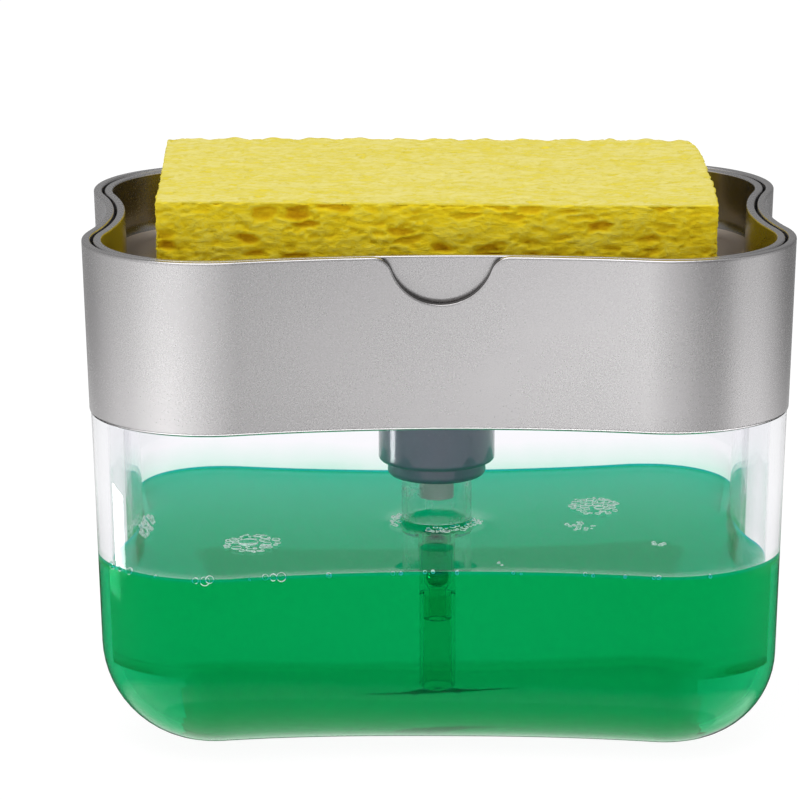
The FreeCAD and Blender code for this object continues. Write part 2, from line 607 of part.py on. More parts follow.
def ball(body, radius, height):
    """A ball on the pump's axis, turned from a half circle."""
    sketch = new_sketch(body, body.Label + "_profile", "XZ_Plane")
    r, h = dim(radius), dim(height)
    arc = sketch.addGeometry(Part.ArcOfCircle(Part.Circle(FreeCAD.Vector(0, h.value, 0), FreeCAD.Vector(0, 0, 1), r.value),
                                              -0.5 * math.pi, 0.5 * math.pi), False)
    line = sketch.addGeometry(Part.LineSegment(FreeCAD.Vector(0, h.value + r.value, 0), FreeCAD.Vector(0, h.value - r.value, 0)), False)
    sketch.addConstraint(Sketcher.Constraint("Coincident", arc, 2, line, 1))
    sketch.addConstraint(Sketcher.Constraint("Coincident", line, 2, arc, 1))
    sketch.addConstraint(Sketcher.Constraint("PointOnObject", arc, 3, -2))
    sketch.addConstraint(Sketcher.Constraint("PointOnObject", arc, 1, -2))
    sketch.addConstraint(Sketcher.Constraint("PointOnObject", arc, 2, -2))
    bind(sketch, "Radius", (arc,), r)
    bind(sketch, "DistanceY", (-1, 1, arc, 3), h)
    feature = body.newObject("PartDesign::Revolution", body.Label + "_turned")
    feature.Profile = sketch
    feature.ReferenceAxis = (sketch, ["V_Axis"])
    feature.Angle = 360.0
    doc.recompute()


ball(inlet, "ball_in_rad", "ball_in_z")
NODES.append(inlet)

keeper = new_body("ball_retainer")
turn(keeper, "keeper_ring", [("keeper_bore", "keeper_z"), ("keeper_rad", "keeper_z"),
                             ("keeper_rad", dim("keeper_z") + "keeper_up"), ("keeper_bore", dim("keeper_z") + "keeper_up")])
NODES.append(keeper)

tube = new_body("dip_tube")
turn(tube, "tube_wall", [("tube_bore", "tube_z"), ("tube_rad", "tube_z"), ("tube_rad", "tube_top"), ("tube_bore", "tube_top")])
NODES.append(tube)

guide = new_body("stem_guide")
turn(guide, "guide_body", [("guide_bore", "guide_z"), (dim("guide_rad") - 0.5, "guide_z"), ("guide_rad", dim("guide_z") + 0.8),
                           ("guide_rad", "guide_head_z"), ("guide_head_rad", "guide_head_z"),
                           ("guide_head_rad", "guide_top"), ("guide_bore", "guide_top")])
NODES.append(guide)

# ---- return spring -----------------------------------------------------------

spring = new_body("return_spring")
wire = new_sketch(spring, "wire_section", "XZ_Plane")
section = wire.addGeometry(Part.Circle(FreeCAD.Vector(VALUE["spring_rad"], VALUE["spring_z"], 0), FreeCAD.Vector(0, 0, 1),
                                       VALUE["wire_rad"]), False)
bind(wire, "DistanceX", (-1, 1, section, 3), "spring_rad")
bind(wire, "DistanceY", (-1, 1, section, 3), "spring_z")
bind(wire, "Radius", (section,), "wire_rad")
coil = spring.newObject("PartDesign::AdditiveHelix", "coil")
coil.Profile = wire
coil.ReferenceAxis = (wire, ["V_Axis"])
coil.Mode = 2  # height and turns
coil.setExpression("Height", dim("spring_tall").text)
coil.setExpression("Turns", dim("spring_turns").text)
doc.recompute()
NODES.append(spring)

# ---- plunger -----------------------------------------------------------------

stem = new_body("plunger_stem")
turn(stem, "stem_body", [
    ("stem_bore", "stem_z"), ("tail_rad", "stem_z"), ("tail_rad", "tail_top"), ("land_rad", "tail_top"),
    ("land_rad", "land_top"), ("stem_rad", "land_top"), ("stem_rad", "head_z"), ("head_rad", "head_z"),
    ("head_rad", "rest_z"), ("rest_rad", "rest_z"), ("rest_rad", "rest_top"), ("head_rad", "rest_top"),
    ("head_rad", dim("ring_z") - dim("ring_groove_up") / 2), ("ring_groove_rad", dim("ring_z") - dim("ring_groove_up") / 2),
    ("ring_groove_rad", dim("ring_z") + dim("ring_groove_up") / 2), ("head_rad", dim("ring_z") + dim("ring_groove_up") / 2),
    ("head_rad", "head_top"), ("nozzle_bore", "head_top"), ("nozzle_bore", "nozzle_seat_z"), ("out_bore", "nozzle_seat_z"),
    ("out_bore", dim("out_seat_z") + "out_bore" - "stem_bore"), ("stem_bore", "out_seat_z")])
NODES.append(stem)

piston = new_body("piston")
turn(piston, "piston_body", [
    ("piston_bore", "piston_z"), (dim("piston_waist") - 0.6, "piston_z"), (dim("piston_rad") - 0.3, dim("piston_z") + 0.3),
    ("piston_rad", dim("piston_z") + 0.9), ("piston_rad", dim("piston_z") + 1.6), ("piston_waist", dim("piston_z") + 2.3),
    ("piston_waist", dim("piston_top") - 2.3), ("piston_rad", dim("piston_top") - 1.6), ("piston_rad", dim("piston_top") - 0.9),
    (dim("piston_rad") - 0.3, dim("piston_top") - 0.3), (dim("piston_waist") - 0.6, "piston_top"), ("piston_bore", "piston_top")])
NODES.append(piston)

outlet = new_body("outlet_ball")
ball(outlet, "ball_out_rad", "ball_out_z")
NODES.append(outlet)

nozzle = new_body("nozzle_cap")
turn(nozzle, "nozzle_body", [
    ("nozzle_hole", "nozzle_z"), ("nozzle_rad", "nozzle_z"), ("nozzle_rad", dim("nozzle_top") - 0.4),
    (dim("nozzle_rad") - 0.6, "nozzle_top"), (dim("nozzle_hole") + 0.5, "nozzle_top"), ("nozzle_hole", dim("nozzle_top") - 0.4)])
NODES.append(nozzle)

ring = doc.addObject("Part::Torus", "head_o_ring")
ring.Label = "head_o_ring"
ring.setExpression("Radius1", "dims.ring_rad")
ring.setExpression("Radius2", "dims.ring_wire")
ring.setExpression("Placement.Base.z", "dims.ring_z")
NODES.append(ring)

# ---- tray --------------------------------------------------------------------


def tray_in(height):
    """Inset of the tray's outer wall at a height: the collar's wall, its draft and the gap."""
    draft = dim("collar_draft") * (dim("body_top") - height) / (dim("body_top") - "seam_z")
    return dim("collar_wall") + "tray_gap" + draft


tray = new_body("tray")
shell(tray, "tray_shell", "tray_z", "tray_top", tray_in(dim("tray_z")), tray_in(dim("tray_top")))
hollow(tray, "tray_inside", "tray_floor", "tray_top",
       tray_in(dim("tray_floor")) + "tray_wall", tray_in(dim("tray_top")) + "tray_wall")
fillet(tray, "tray_floor_round", "tray_in_rad", at_height("tray_floor"))
fillet(tray, "tray_foot_round", "tray_out_rad", at_height("tray_z"))
fillet(tray, "tray_rim_round", "tray_edge", at_height("tray_top"))
hole = new_sketch(tray, "tray_hole_outline", "XY_Plane", dim("tray_floor") + 1.0)
add_circle(hole, "tray_hole")
pocket(tray, "tray_hole_cut", hole, 4.0)
NODES.append(tray)

hub = new_body("tray_hub")
turn(hub, "hub_ring", [("tray_hole", "hub_z"), (dim("hub_rad") - 0.6, "hub_z"), ("hub_rad", dim("hub_z") + 0.6),
                       ("hub_rad", "hub_top"), ("tray_hole", "hub_top")])
NODES.append(hub)

# ---- sponge ------------------------------------------------------------------

sponge = new_body("sponge")
slab = new_sketch(sponge, "sponge_outline", "XY_Plane", "sponge_z")
slab.setExpression("AttachmentOffset.Base.x", "dims.sponge_x")
add_rounded_rectangle(slab, "sponge_w", "sponge_d", "sponge_edge")
pad(sponge, "sponge_slab", slab, "sponge_up")
NODES.append(sponge)

# ---- check and write ---------------------------------------------------------

doc.recompute()
bad = []
for item in doc.Objects:
    if "Invalid" in item.State or "Error" in item.State:
        bad.append("%s: %s" % (item.Label, item.State))
for node in NODES:
    shape = node.Shape
    if shape.isNull() or not shape.isValid() or len(shape.Solids) != 1:
        bad.append("%s: shape not one valid solid" % node.Label)
if bad:
    raise RuntimeError("; ".join(bad))

os.makedirs("parts", exist_ok=True)
for node in NODES:
    node.Shape.exportStep("parts/%s.step" % node.Label)
    box = node.Shape.BoundBox
    print("%-18s volume %10.1f  x %.2f..%.2f  y %.2f..%.2f  z %.2f..%.2f" % (
        node.Label, node.Shape.Volume, box.XMin, box.XMax, box.YMin, box.YMax, box.ZMin, box.ZMax))
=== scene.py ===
import math

import bmesh
import bpy
import numpy as np
from mathutils import Matrix, Vector
from mathutils.kdtree import KDTree


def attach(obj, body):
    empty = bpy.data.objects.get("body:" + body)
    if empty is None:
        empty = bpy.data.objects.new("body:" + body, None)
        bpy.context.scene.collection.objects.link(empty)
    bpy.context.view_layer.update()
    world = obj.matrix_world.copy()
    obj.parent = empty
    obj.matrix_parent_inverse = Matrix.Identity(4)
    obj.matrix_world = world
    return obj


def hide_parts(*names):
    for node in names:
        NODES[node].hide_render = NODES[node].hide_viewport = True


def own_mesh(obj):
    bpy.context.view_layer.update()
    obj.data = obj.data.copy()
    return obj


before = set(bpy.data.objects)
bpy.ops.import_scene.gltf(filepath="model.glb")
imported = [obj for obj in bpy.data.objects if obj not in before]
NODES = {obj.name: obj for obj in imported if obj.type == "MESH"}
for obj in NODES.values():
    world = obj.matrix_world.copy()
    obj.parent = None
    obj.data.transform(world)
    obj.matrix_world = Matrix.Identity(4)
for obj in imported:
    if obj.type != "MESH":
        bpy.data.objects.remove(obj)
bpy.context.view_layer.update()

scene = bpy.context.scene
MM = 0.001

# ------------------------------------------------------------------ sizes, mm
W, D = 139.7, 100.0          # over the lobes
RC = 25.07                   # lobe radius
DS, DF = 3.55, 4.77          # how far the sides and the long walls dip in
CX, CY = W / 2 - RC, D / 2 - RC
RS = (DS ** 2 + CY ** 2) / (2 * DS) - RC
XS = W / 2 - DS + RS
RF = (DF ** 2 + CX ** 2) / (2 * DF) - RC
YF = D / 2 - DF + RF
RIM = 101.6                  # top of the collar
LEVEL = 37.6                 # standing level of the soap
SQ = math.sqrt


# ------------------------------------------------------------------ meshes
def mesh_object(name, verts, faces, recalc=True):
    me = bpy.data.meshes.new(name)
    me.from_pydata((np.asarray(verts, float) * MM).tolist(), [], faces)
    me.validate()
    if recalc:
        bm = bmesh.new()
        bm.from_mesh(me)
        bmesh.ops.recalc_face_normals(bm, faces=bm.faces)
        bm.to_mesh(me)
        bm.free()
    me.polygons.foreach_set("use_smooth", np.ones(len(me.polygons), bool))
    me.update()
    ob = bpy.data.objects.new(name, me)
    scene.collection.objects.link(ob)
    return ob


def skin(name, rings, closed=False, cap=(False, False)):
    """Quads between successive rings of equally many points. A capped end gets a fan to its middle."""
    n, m = len(rings), len(rings[0])
    verts = np.concatenate(rings)
    i = np.arange(n if closed else n - 1)[:, None]
    j = np.arange(m)[None, :]
    k = (j + 1) % m
    up = (i + 1) % n
    faces = np.stack([i * m + j, i * m + k, up * m + k, up * m + j], -1).reshape(-1, 4).tolist()
    for end, r in ((cap[0], 0), (cap[1], n - 1)):
        if end:
            verts = np.vstack([verts, rings[r].mean(0)])
            c = len(verts) - 1
            faces += [(r * m + a, r * m + (a + 1) % m, c) for a in range(m)]
    return mesh_object(name, verts, faces)


def rounded(points, closed=False, steps=6, hold=0.15):
    """A path of (a, b, radius) corners with the corners rounded. A point is held close to each end of a round, so that
    flat stretches stay flat when shaded smooth."""
    pts = [np.array(p[:2], float) for p in points]
    rad = [p[2] if len(p) > 2 else 0.0 for p in points]
    n, out = len(pts), []
    for k in range(n):
        p = pts[k]
        if rad[k] <= 0 or (not closed and k in (0, n - 1)):
            out.append(p)
            continue
        u, v = pts[k - 1] - p, pts[(k + 1) % n] - p
        lu, lv = np.linalg.norm(u), np.linalg.norm(v)
        u, v = u / lu, v / lv
        half = 0.5 * math.acos(max(-1.0, min(1.0, float(u @ v))))
        room = [0.49 if rad[j] > 0 and (closed or 0 < j < n - 1) else 0.98 for j in ((k - 1) % n, (k + 1) % n)]
        t = min(rad[k] / math.tan(half), room[0] * lu, room[1] * lv)
        r = t * math.tan(half)
        mid = (u + v) / np.linalg.norm(u + v)
        c = p + mid * (r / math.sin(half))
        w0, w1, turn = p + u * t - c, p + v * t - c, math.pi - 2 * half
        if lu - t > 2.2 * hold:
            out.append(p + u * (t + hold))
        for s in np.linspace(0, 1, steps + 1):
            out.append(c + (math.sin((1 - s) * turn) * w0 + math.sin(s * turn) * w1) / math.sin(turn))
        if lv - t > 2.2 * hold:
            out.append(p + v * (t + hold))
    return out


def lathe(name, path, closed=True, n=96, at=(0.0, 0.0)):
    """Turns (r, z) points about Z. An open path runs from the axis to the axis."""
    a = np.linspace(0, 2 * math.pi, n, endpoint=False)
    rings = [np.column_stack([at[0] + r * np.cos(a), at[1] + r * np.sin(a), np.full(n, z)]) for r, z in path]
    return skin(name, rings, closed, (not closed, not closed))


def tube(name, line, radius, sides=14, cap=True):
    """A round wire along points."""
    line = np.asarray(line, float)
    t = np.gradient(line, axis=0)
    t /= np.linalg.norm(t, axis=1)[:, None]
    up = np.array([0.0, 0.0, 1.0])
    rings = []
    for p, d in zip(line, t):
        u = np.cross(up, d)
        u = u / np.linalg.norm(u) if np.linalg.norm(u) > 1e-6 else np.array([1.0, 0, 0])
        v = np.cross(d, u)
        a = np.linspace(0, 2 * math.pi, sides, endpoint=False)
        rings.append(p + radius * (np.cos(a)[:, None] * u + np.sin(a)[:, None] * v))
    return skin(name, rings, False, (cap, cap))


# ------------------------------------------------------------------ the lobed outline
LOW, HIGH = math.atan2(-CY, XS - CX), math.atan2(YF - CY, -CX)
BETA, GAMMA = math.atan2(CX, YF - CY), math.atan2(CY, XS - CX)
FRONT_X = RF * math.sin(BETA)     # where the front's hollow meets the lobes


def arc(cx, cy, r, a0, a1, n, inward):
    a = a0 + (a1 - a0) * np.arange(n) / n
    d = np.column_stack([np.cos(a), np.sin(a)])
    return np.array([cx, cy]) + r * d, -d if inward else d


def outline(lobe=46, side=22, long=52):
    """Points and outward normals, counter-clockwise from the middle of the front."""
    h, p = math.pi / 2, math.pi
    parts = [
        arc(0, -YF, RF, h, h - BETA, long // 2, True),
        arc(CX, -CY, RC, -HIGH, -LOW, lobe, False),
        arc(XS, 0, RS, p + GAMMA, p - GAMMA, side, True),
        arc(CX, CY, RC, LOW, HIGH, lobe, False),
        arc(0, YF, RF, -h + BETA, -h - BETA, long, True),
        arc(-CX, CY, RC, p - HIGH, p - LOW, lobe, False),
        arc(-XS, 0, RS, GAMMA, -GAMMA, side, True),
        arc(-CX, -CY, RC, p + LOW, p + HIGH, lobe, False),
        arc(0, -YF, RF, h + BETA, h, long // 2, True),
    ]
    return np.concatenate([a for a, _ in parts]), np.concatenate([b for _, b in parts])


OP, ON = outline()
OA = np.arctan2(OP[:, 1], OP[:, 0])
CIRC = np.column_stack([np.cos(OA), np.sin(OA)])


def flat_ring(xy, z):
    return np.column_stack([xy, np.full(len(xy), float(z))])


def inset(d, z):
    return flat_ring(OP - d * ON, z)


def circle(r, z):
    return flat_ring(CIRC * r, z)


def between(d, r, t, z):
    """From the outline inset by d, at t = 0, to a circle, at t = 1."""
    return flat_ring((1 - t) * (OP - d * ON) + t * CIRC * r, z)


def round_rect(hx, hy, r, z):
    """A rounded rectangle with a point at each of the outline's polar angles."""
    out = []
    for c, s in CIRC:
        lo, hi = 0.0, hx + hy
        for _ in range(40):
            t = 0.5 * (lo + hi)
            qx, qy = max(abs(t * c) - hx + r, 0), max(abs(t * s) - hy + r, 0)
            over = math.hypot(qx, qy) - r if (qx or qy) else -1.0
            lo, hi = (t, hi) if over < 0 else (lo, t)
        out.append((lo * c, lo * s))
    return flat_ring(np.array(out), z)


# ------------------------------------------------------------------ seeded noise
rng = np.random.default_rng(20)
TABLE = rng.random((64, 64, 64))


def value_noise(p):
    """Smooth noise from 0 to 1 at points p, one cell per unit."""
    i = np.floor(p).astype(int)
    f = p - i
    f = f * f * (3 - 2 * f)
    out = np.zeros(len(p))
    for dx in (0, 1):
        for dy in (0, 1):
            for dz in (0, 1):
                w = (f[:, 0] if dx else 1 - f[:, 0]) * (f[:, 1] if dy else 1 - f[:, 1]) * (f[:, 2] if dz else 1 - f[:, 2])
                out += w * TABLE[(i[:, 0] + dx) % 64, (i[:, 1] + dy) % 64, (i[:, 2] + dz) % 64]
    return out


def layered(p, octaves=3):
    total, amp, norm = np.zeros(len(p)), 1.0, 0.0
    for k in range(octaves):
        total += amp * value_noise(p * 2 ** k + 17.3 * k)
        norm += amp
        amp *= 0.5
    return total / norm


def step(a, b, x):
    t = np.clip((x - a) / (b - a), 0, 1)
    return t * t * (3 - 2 * t)


# ------------------------------------------------------------------ materials
class Mat:
    """A node material round one Principled shader."""

    def __init__(self, name, **values):
        self.m = bpy.data.materials.new(name)
        self.m.use_nodes = True
        self.t = self.m.node_tree
        self.t.nodes.clear()
        self.out = self.t.nodes.new("ShaderNodeOutputMaterial")
        self.b = self.t.nodes.new("ShaderNodeBsdfPrincipled")
        self.t.links.new(self.b.outputs[0], self.out.inputs["Surface"])
        for key, v in values.items():
            self.b.inputs[key.replace("_", " ")].default_value = v
        self.coord = None

    def node(self, kind, **props):
        n = self.t.nodes.new(kind)
        for k, v in props.items():
            setattr(n, k, v)
        return n

    def link(self, a, b):
        self.t.links.new(a, b)

    def place(self, scale=(1, 1, 1), turn=(0, 0, 0)):
        """Object coordinates, stretched."""
        if self.coord is None:
            self.coord = self.node("ShaderNodeTexCoord")
        n = self.node("ShaderNodeMapping")
        n.inputs["Scale"].default_value = scale
        n.inputs["Rotation"].default_value = turn
        self.link(self.coord.outputs["Object"], n.inputs["Vector"])
        return n.outputs[0]

    def noise(self, scale, detail=2.0, rough=0.5, stretch=(1, 1, 1), distort=0.0):
        n = self.node("ShaderNodeTexNoise")
        n.inputs["Scale"].default_value = scale
        n.inputs["Detail"].default_value = detail
        n.inputs["Roughness"].default_value = rough
        n.inputs["Distortion"].default_value = distort
        self.link(self.place(stretch), n.inputs["Vector"])
        return n.outputs["Fac"]

    def voronoi(self, scale, feature="F1", stretch=(1, 1, 1)):
        n = self.node("ShaderNodeTexVoronoi", feature=feature)
        n.inputs["Scale"].default_value = scale
        self.link(self.place(stretch), n.inputs["Vector"])
        return n.outputs["Distance"]

    def attribute(self, name):
        n = self.node("ShaderNodeAttribute")
        n.attribute_name = name
        return n.outputs["Fac"]

    def ramp(self, fac, stops):
        n = self.node("ShaderNodeValToRGB")
        e = n.color_ramp.elements
        while len(e) > 1:
            e.remove(e[0])
        for k, (pos, col) in enumerate(stops):
            el = e[0] if k == 0 else e.new(pos)
            el.position = pos
            el.color = (*col, 1.0) if len(col) == 3 else col
        self.link(fac, n.inputs["Fac"])
        return n.outputs["Color"]

    def span(self, fac, lo, hi, a, b):
        n = self.node("ShaderNodeMapRange")
        for k, v in zip(("From Min", "From Max", "To Min", "To Max"), (lo, hi, a, b)):
            n.inputs[k].default_value = v
        self.link(fac, n.inputs["Value"])
        return n.outputs["Result"]

    def math(self, op, a, b=None):
        n = self.node("ShaderNodeMath", operation=op)
        for k, v in enumerate((a, b)):
            if v is None:
                continue
            if isinstance(v, (int, float)):
                n.inputs[k].default_value = v
            else:
                self.link(v, n.inputs[k])
        return n.outputs[0]

    def mix(self, fac, a, b, blend="MIX"):
        n = self.node("ShaderNodeMix", data_type="RGBA", blend_type=blend)
        for sock, v in ((n.inputs[0], fac), (n.inputs[6], a), (n.inputs[7], b)):
            if isinstance(v, (int, float)):
                sock.default_value = v
            elif isinstance(v, tuple):
                sock.default_value = (*v, 1.0)
            else:
                self.link(v, sock)
        return n.outputs[2]

    def bump(self, height, strength, distance, into=None):
        n = self.node("ShaderNodeBump")
        n.inputs["Strength"].default_value = strength
        n.inputs["Distance"].default_value = distance
        self.link(height, n.inputs["Height"])
        if into is not None:
            self.link(into, n.inputs["Normal"])
        return n.outputs[0]

    def set(self, socket, value):
        self.link(value, self.b.inputs[socket])
        return self


def satin(name, tint, rough, speck):
    """Satin nickel over plastic: fine sprayed grain, faint cloudiness, a little rub along the way it is wiped."""
    m = Mat(name, Metallic=1.0)
    grain = m.noise(2600, 2.0, 0.6)
    cloud = m.noise(38, 3.0, 0.55)
    wipe = m.noise(240, 3.0, 0.6, (0.05, 0.05, 1.0))
    a = m.math("MULTIPLY", m.math("SUBTRACT", grain, 0.5), speck)
    b = m.math("MULTIPLY", m.math("SUBTRACT", cloud, 0.5), 0.10)
    c = m.math("MULTIPLY", m.math("SUBTRACT", wipe, 0.5), 0.06)
    f = m.math("ADD", m.math("ADD", a, b), m.math("ADD", c, 0.5))
    dark, pale = tuple(x * 0.72 for x in tint), tuple(min(1.0, x * 1.28) for x in tint)
    m.set("Base Color", m.ramp(f, [(0.0, dark), (1.0, pale)]))
    m.set("Roughness", m.span(m.math("ADD", grain, cloud), 0.6, 1.4, rough - 0.04, rough + 0.05))
    m.set("Normal", m.bump(grain, 0.10, 0.00006, m.bump(cloud, 0.05, 0.0002)))
    return m.m


def moulded(name, colour, rough, spark=0.05, grain=0.12, scale=1600, **values):
    """Moulded plastic: fine spark texture, slight colour drift, uneven gloss."""
    m = Mat(name, **values)
    fine = m.noise(scale, 3.0, 0.6)
    drift = m.noise(70, 2.0, 0.5)
    f = m.math("ADD", m.math("MULTIPLY", fine, 0.35), m.math("MULTIPLY", drift, 0.65))
    m.set("Base Color", m.ramp(f, [(0.3, tuple(x * (1 - grain) for x in colour)), (0.7, tuple(min(1, x * (1 + grain)) for x in colour))]))
    m.set("Roughness", m.span(drift, 0.3, 0.7, rough - 0.05, rough + 0.06))
    m.set("Normal", m.bump(fine, spark, 0.0001))
    return m.m


def clear(name, ior, wave, tint=(0.985, 0.992, 0.992), rough=0.015):
    """Clear moulded plastic with a little flow waviness."""
    m = Mat(name, Transmission_Weight=1.0, IOR=ior, Specular_Tint=(0.0, 0.0, 0.0, 1.0))
    flow = m.noise(26, 2.0, 0.5, (1.0, 1.0, 0.45), 0.4)
    haze = m.noise(300, 2.0, 0.6)
    m.set("Base Color", m.ramp(haze, [(0.3, tuple(x * 0.992 for x in tint)), (0.7, tint)]))
    m.set("Roughness", m.span(haze, 0.3, 0.7, 0.0, rough))
    if wave:
        m.set("Normal", m.bump(flow, wave, 0.001))
    return m.m


def clear_shaded_ends(name, ior, wave, tint, end_shade, x0, x1, z0, z1):
    """Clear moulded plastic, with painted shade dimming its tint towards the two ends above the soap, for the greyer
    look of the curved lobes.
    """
    m = Mat(name, Transmission_Weight=1.0, IOR=ior, Specular_Tint=(0.0, 0.0, 0.0, 1.0))
    sep = m.node("ShaderNodeSeparateXYZ")
    m.link(m.place(), sep.inputs[0])
    flow = m.noise(26, 2.0, 0.5, (1.0, 1.0, 0.45), 0.4)
    haze = m.noise(300, 2.0, 0.6)
    end = m.math("MULTIPLY", m.span(m.math("ABSOLUTE", sep.outputs["X"]), x0, x1, 0.0, 1.0), m.span(sep.outputs["Z"], z0, z1, 0.0, 1.0))
    # painted shade: the tint dims towards both ends, above the soap level
    m.set("Base Color", m.ramp(end, [(0.0, tint), (1.0, end_shade)]))
    m.set("Roughness", m.span(haze, 0.3, 0.7, 0.0, 0.015))
    m.set("Normal", m.bump(flow, wave, 0.001))
    return m.m


def wet(name, ior, tint, film, z0, z1):
    """Clear plastic with a film of soap run down it, thinning out from z0 up to z1."""
    m = Mat(name, Transmission_Weight=1.0, IOR=ior, Specular_Tint=(0.0, 0.0, 0.0, 1.0))
    sep = m.node("ShaderNodeSeparateXYZ")
    m.link(m.place(), sep.inputs[0])
    run = m.noise(90, 3.0, 0.6, (1, 1, 0.5))
    high = m.math("ADD", sep.outputs["Z"], m.math("MULTIPLY", m.math("SUBTRACT", run, 0.5), 0.0035))
    up = m.span(high, z0, z1, 0.0, 1.0)
    m.set("Base Color", m.ramp(up, [(0.0, film), (0.35, tuple(0.55 * a + 0.45 * b for a, b in zip(film, tint))), (1.0, tint)]))
    m.set("Roughness", m.span(up, 0.0, 1.0, 0.22, 0.0))
    return m.m


def steel(name, colour, rough):
    m = Mat(name, Metallic=1.0)
    line = m.noise(900, 3.0, 0.6, (1, 1, 0.2))
    m.set("Base Color", m.ramp(line, [(0.3, tuple(x * 0.85 for x in colour)), (0.7, colour)]))
    m.set("Roughness", m.span(line, 0.3, 0.7, rough - 0.05, rough + 0.08))
    m.set("Normal", m.bump(line, 0.08, 0.00005))
    return m.m


METAL = satin("satin_nickel", (0.615, 0.600, 0.605), 0.26, 0.34)
# a darker copy of the satin nickel for the tray's inner walls: painted shade inside the tray
METAL_TRAY_SHADED = satin("satin_nickel_tray_painted_shade", (0.30, 0.285, 0.27), 0.24, 0.24)
# a near-black copy of the satin nickel for the notch's edge faces: painted shadow of the gap between collar and tray
METAL_GAP_SHADOW = satin("satin_nickel_painted_gap_shadow", (0.060, 0.054, 0.050), 0.30, 0.24)
# a warm copy of the satin nickel for the tray's floor: painted reflection of the yellow sponge above it
METAL_FLOOR_WARM_REFLECTION = satin("satin_nickel_floor_painted_reflection", (0.72, 0.62, 0.53), 0.30, 0.24)
# the cup's clear plastic, with painted shade at its two ends above the soap
CLEAR_SHADED_ENDS = clear_shaded_ends("clear_styrene", 1.49, 0.012, (0.958, 0.953, 0.973), (0.865, 0.868, 0.888), 0.052, 0.066, 0.0378, 0.0405)
CLEAR_BASE = clear("clear_styrene_base", 1.263, 0.012, (0.958, 0.953, 0.973))
CLEAR_WET = wet("clear_styrene_wet", 1.49, (0.958, 0.953, 0.973), (0.30, 0.80, 0.54), 0.0372, 0.0440)
CLEAR_PUMP = clear("clear_pump_plastic", 1.47, 0.02, (0.93, 0.955, 0.95), 0.30)
WET_PUMP = clear("clear_pump_plastic_wet", 1.09, 0.02, (0.66, 0.88, 0.80), 0.05)
# the barrel under the soap: the green of the soap inside it, darkened further as painted shade for the dark column
# below the pump
WET_BARREL_SHADED = clear("clear_pump_barrel_wet_painted_shade", 1.09, 0.02, (0.30, 0.76, 0.64), 0.05)
SLATE = moulded("slate_plastic", (0.122, 0.157, 0.222), 0.40, 0.05, 0.10, Coat_Weight=0.9, Coat_Roughness=0.02)
GREY = moulded("grey_plastic", (0.42, 0.43, 0.44), 0.42)
WHITE = moulded("white_plastic", (0.80, 0.80, 0.79), 0.38)
RUBBER = moulded("seal_rubber", (0.030, 0.030, 0.032), 0.62, 0.12)
BALL = steel("ball_steel", (0.68, 0.68, 0.69), 0.14)
SPRING = steel("spring_steel", (0.60, 0.60, 0.61), 0.24)


def soap_material():
    """Green hand soap, clear: the colour comes from the depth looked through, with painted shade darkening the bottom
    face and a painted sheen making the top surface bluer.
    """
    m = Mat("liquid_soap", Transmission_Weight=1.0, IOR=1.18, Specular_Tint=(0.0, 0.0, 0.0, 1.0))
    swirl = m.noise(60, 3.0, 0.55, (1, 1, 1), 0.6)
    sep = m.node("ShaderNodeSeparateXYZ")
    m.link(m.place(), sep.inputs[0])
    high = m.span(sep.outputs["Z"], 0.0024, 0.0376, 0.0, 1.0)
    # painted shade: darker green on the bottom face, for the shadow under the cup; painted sheen: bluer on the top
    # surface
    m.set("Base Color", m.ramp(high, [(0.0, (0.002, 0.340, 0.090)), (0.004, (0.002, 0.340, 0.090)), (0.02, (0.005, 0.470, 0.160)),
                                      (0.993, (0.005, 0.470, 0.165)), (0.9985, (0.008, 0.470, 0.470))]))
    m.set("Roughness", m.span(swirl, 0.3, 0.7, 0.0, 0.02))
    v = m.node("ShaderNodeVolumeAbsorption")
    v.inputs["Color"].default_value = (0.0, 0.81, 0.50, 1.0)
    v.inputs["Density"].default_value = 16.0
    m.link(v.outputs[0], m.out.inputs["Volume"])
    return m.m


def foam_material():
    """Where films of foam meet: wet white threads, with a faint painted glow to keep them bright in the shade under the
    deck.
    """
    m = Mat("soap_foam_painted_glow", IOR=1.33, Specular_IOR_Level=0.6, Emission_Color=(0.88, 1.0, 0.96, 1.0), Emission_Strength=0.24)
    film = m.noise(1400, 2.0, 0.6)
    m.set("Base Color", m.ramp(film, [(0.3, (0.80, 0.95, 0.89)), (0.7, (0.97, 1.0, 0.99))]))
    m.set("Roughness", m.span(film, 0.3, 0.7, 0.12, 0.32))
    return m.m


def film_material():
    """The skin of a bubble: nothing to see but a gleam at its edge."""
    m = Mat("soap_film", Transmission_Weight=1.0, IOR=1.05)
    film = m.noise(900, 2.0, 0.6)
    m.set("Base Color", m.ramp(film, [(0.3, (0.93, 0.99, 0.96)), (0.7, (0.99, 1.0, 1.0))]))
    m.set("Roughness", m.span(film, 0.3, 0.7, 0.0, 0.03))
    return m.m


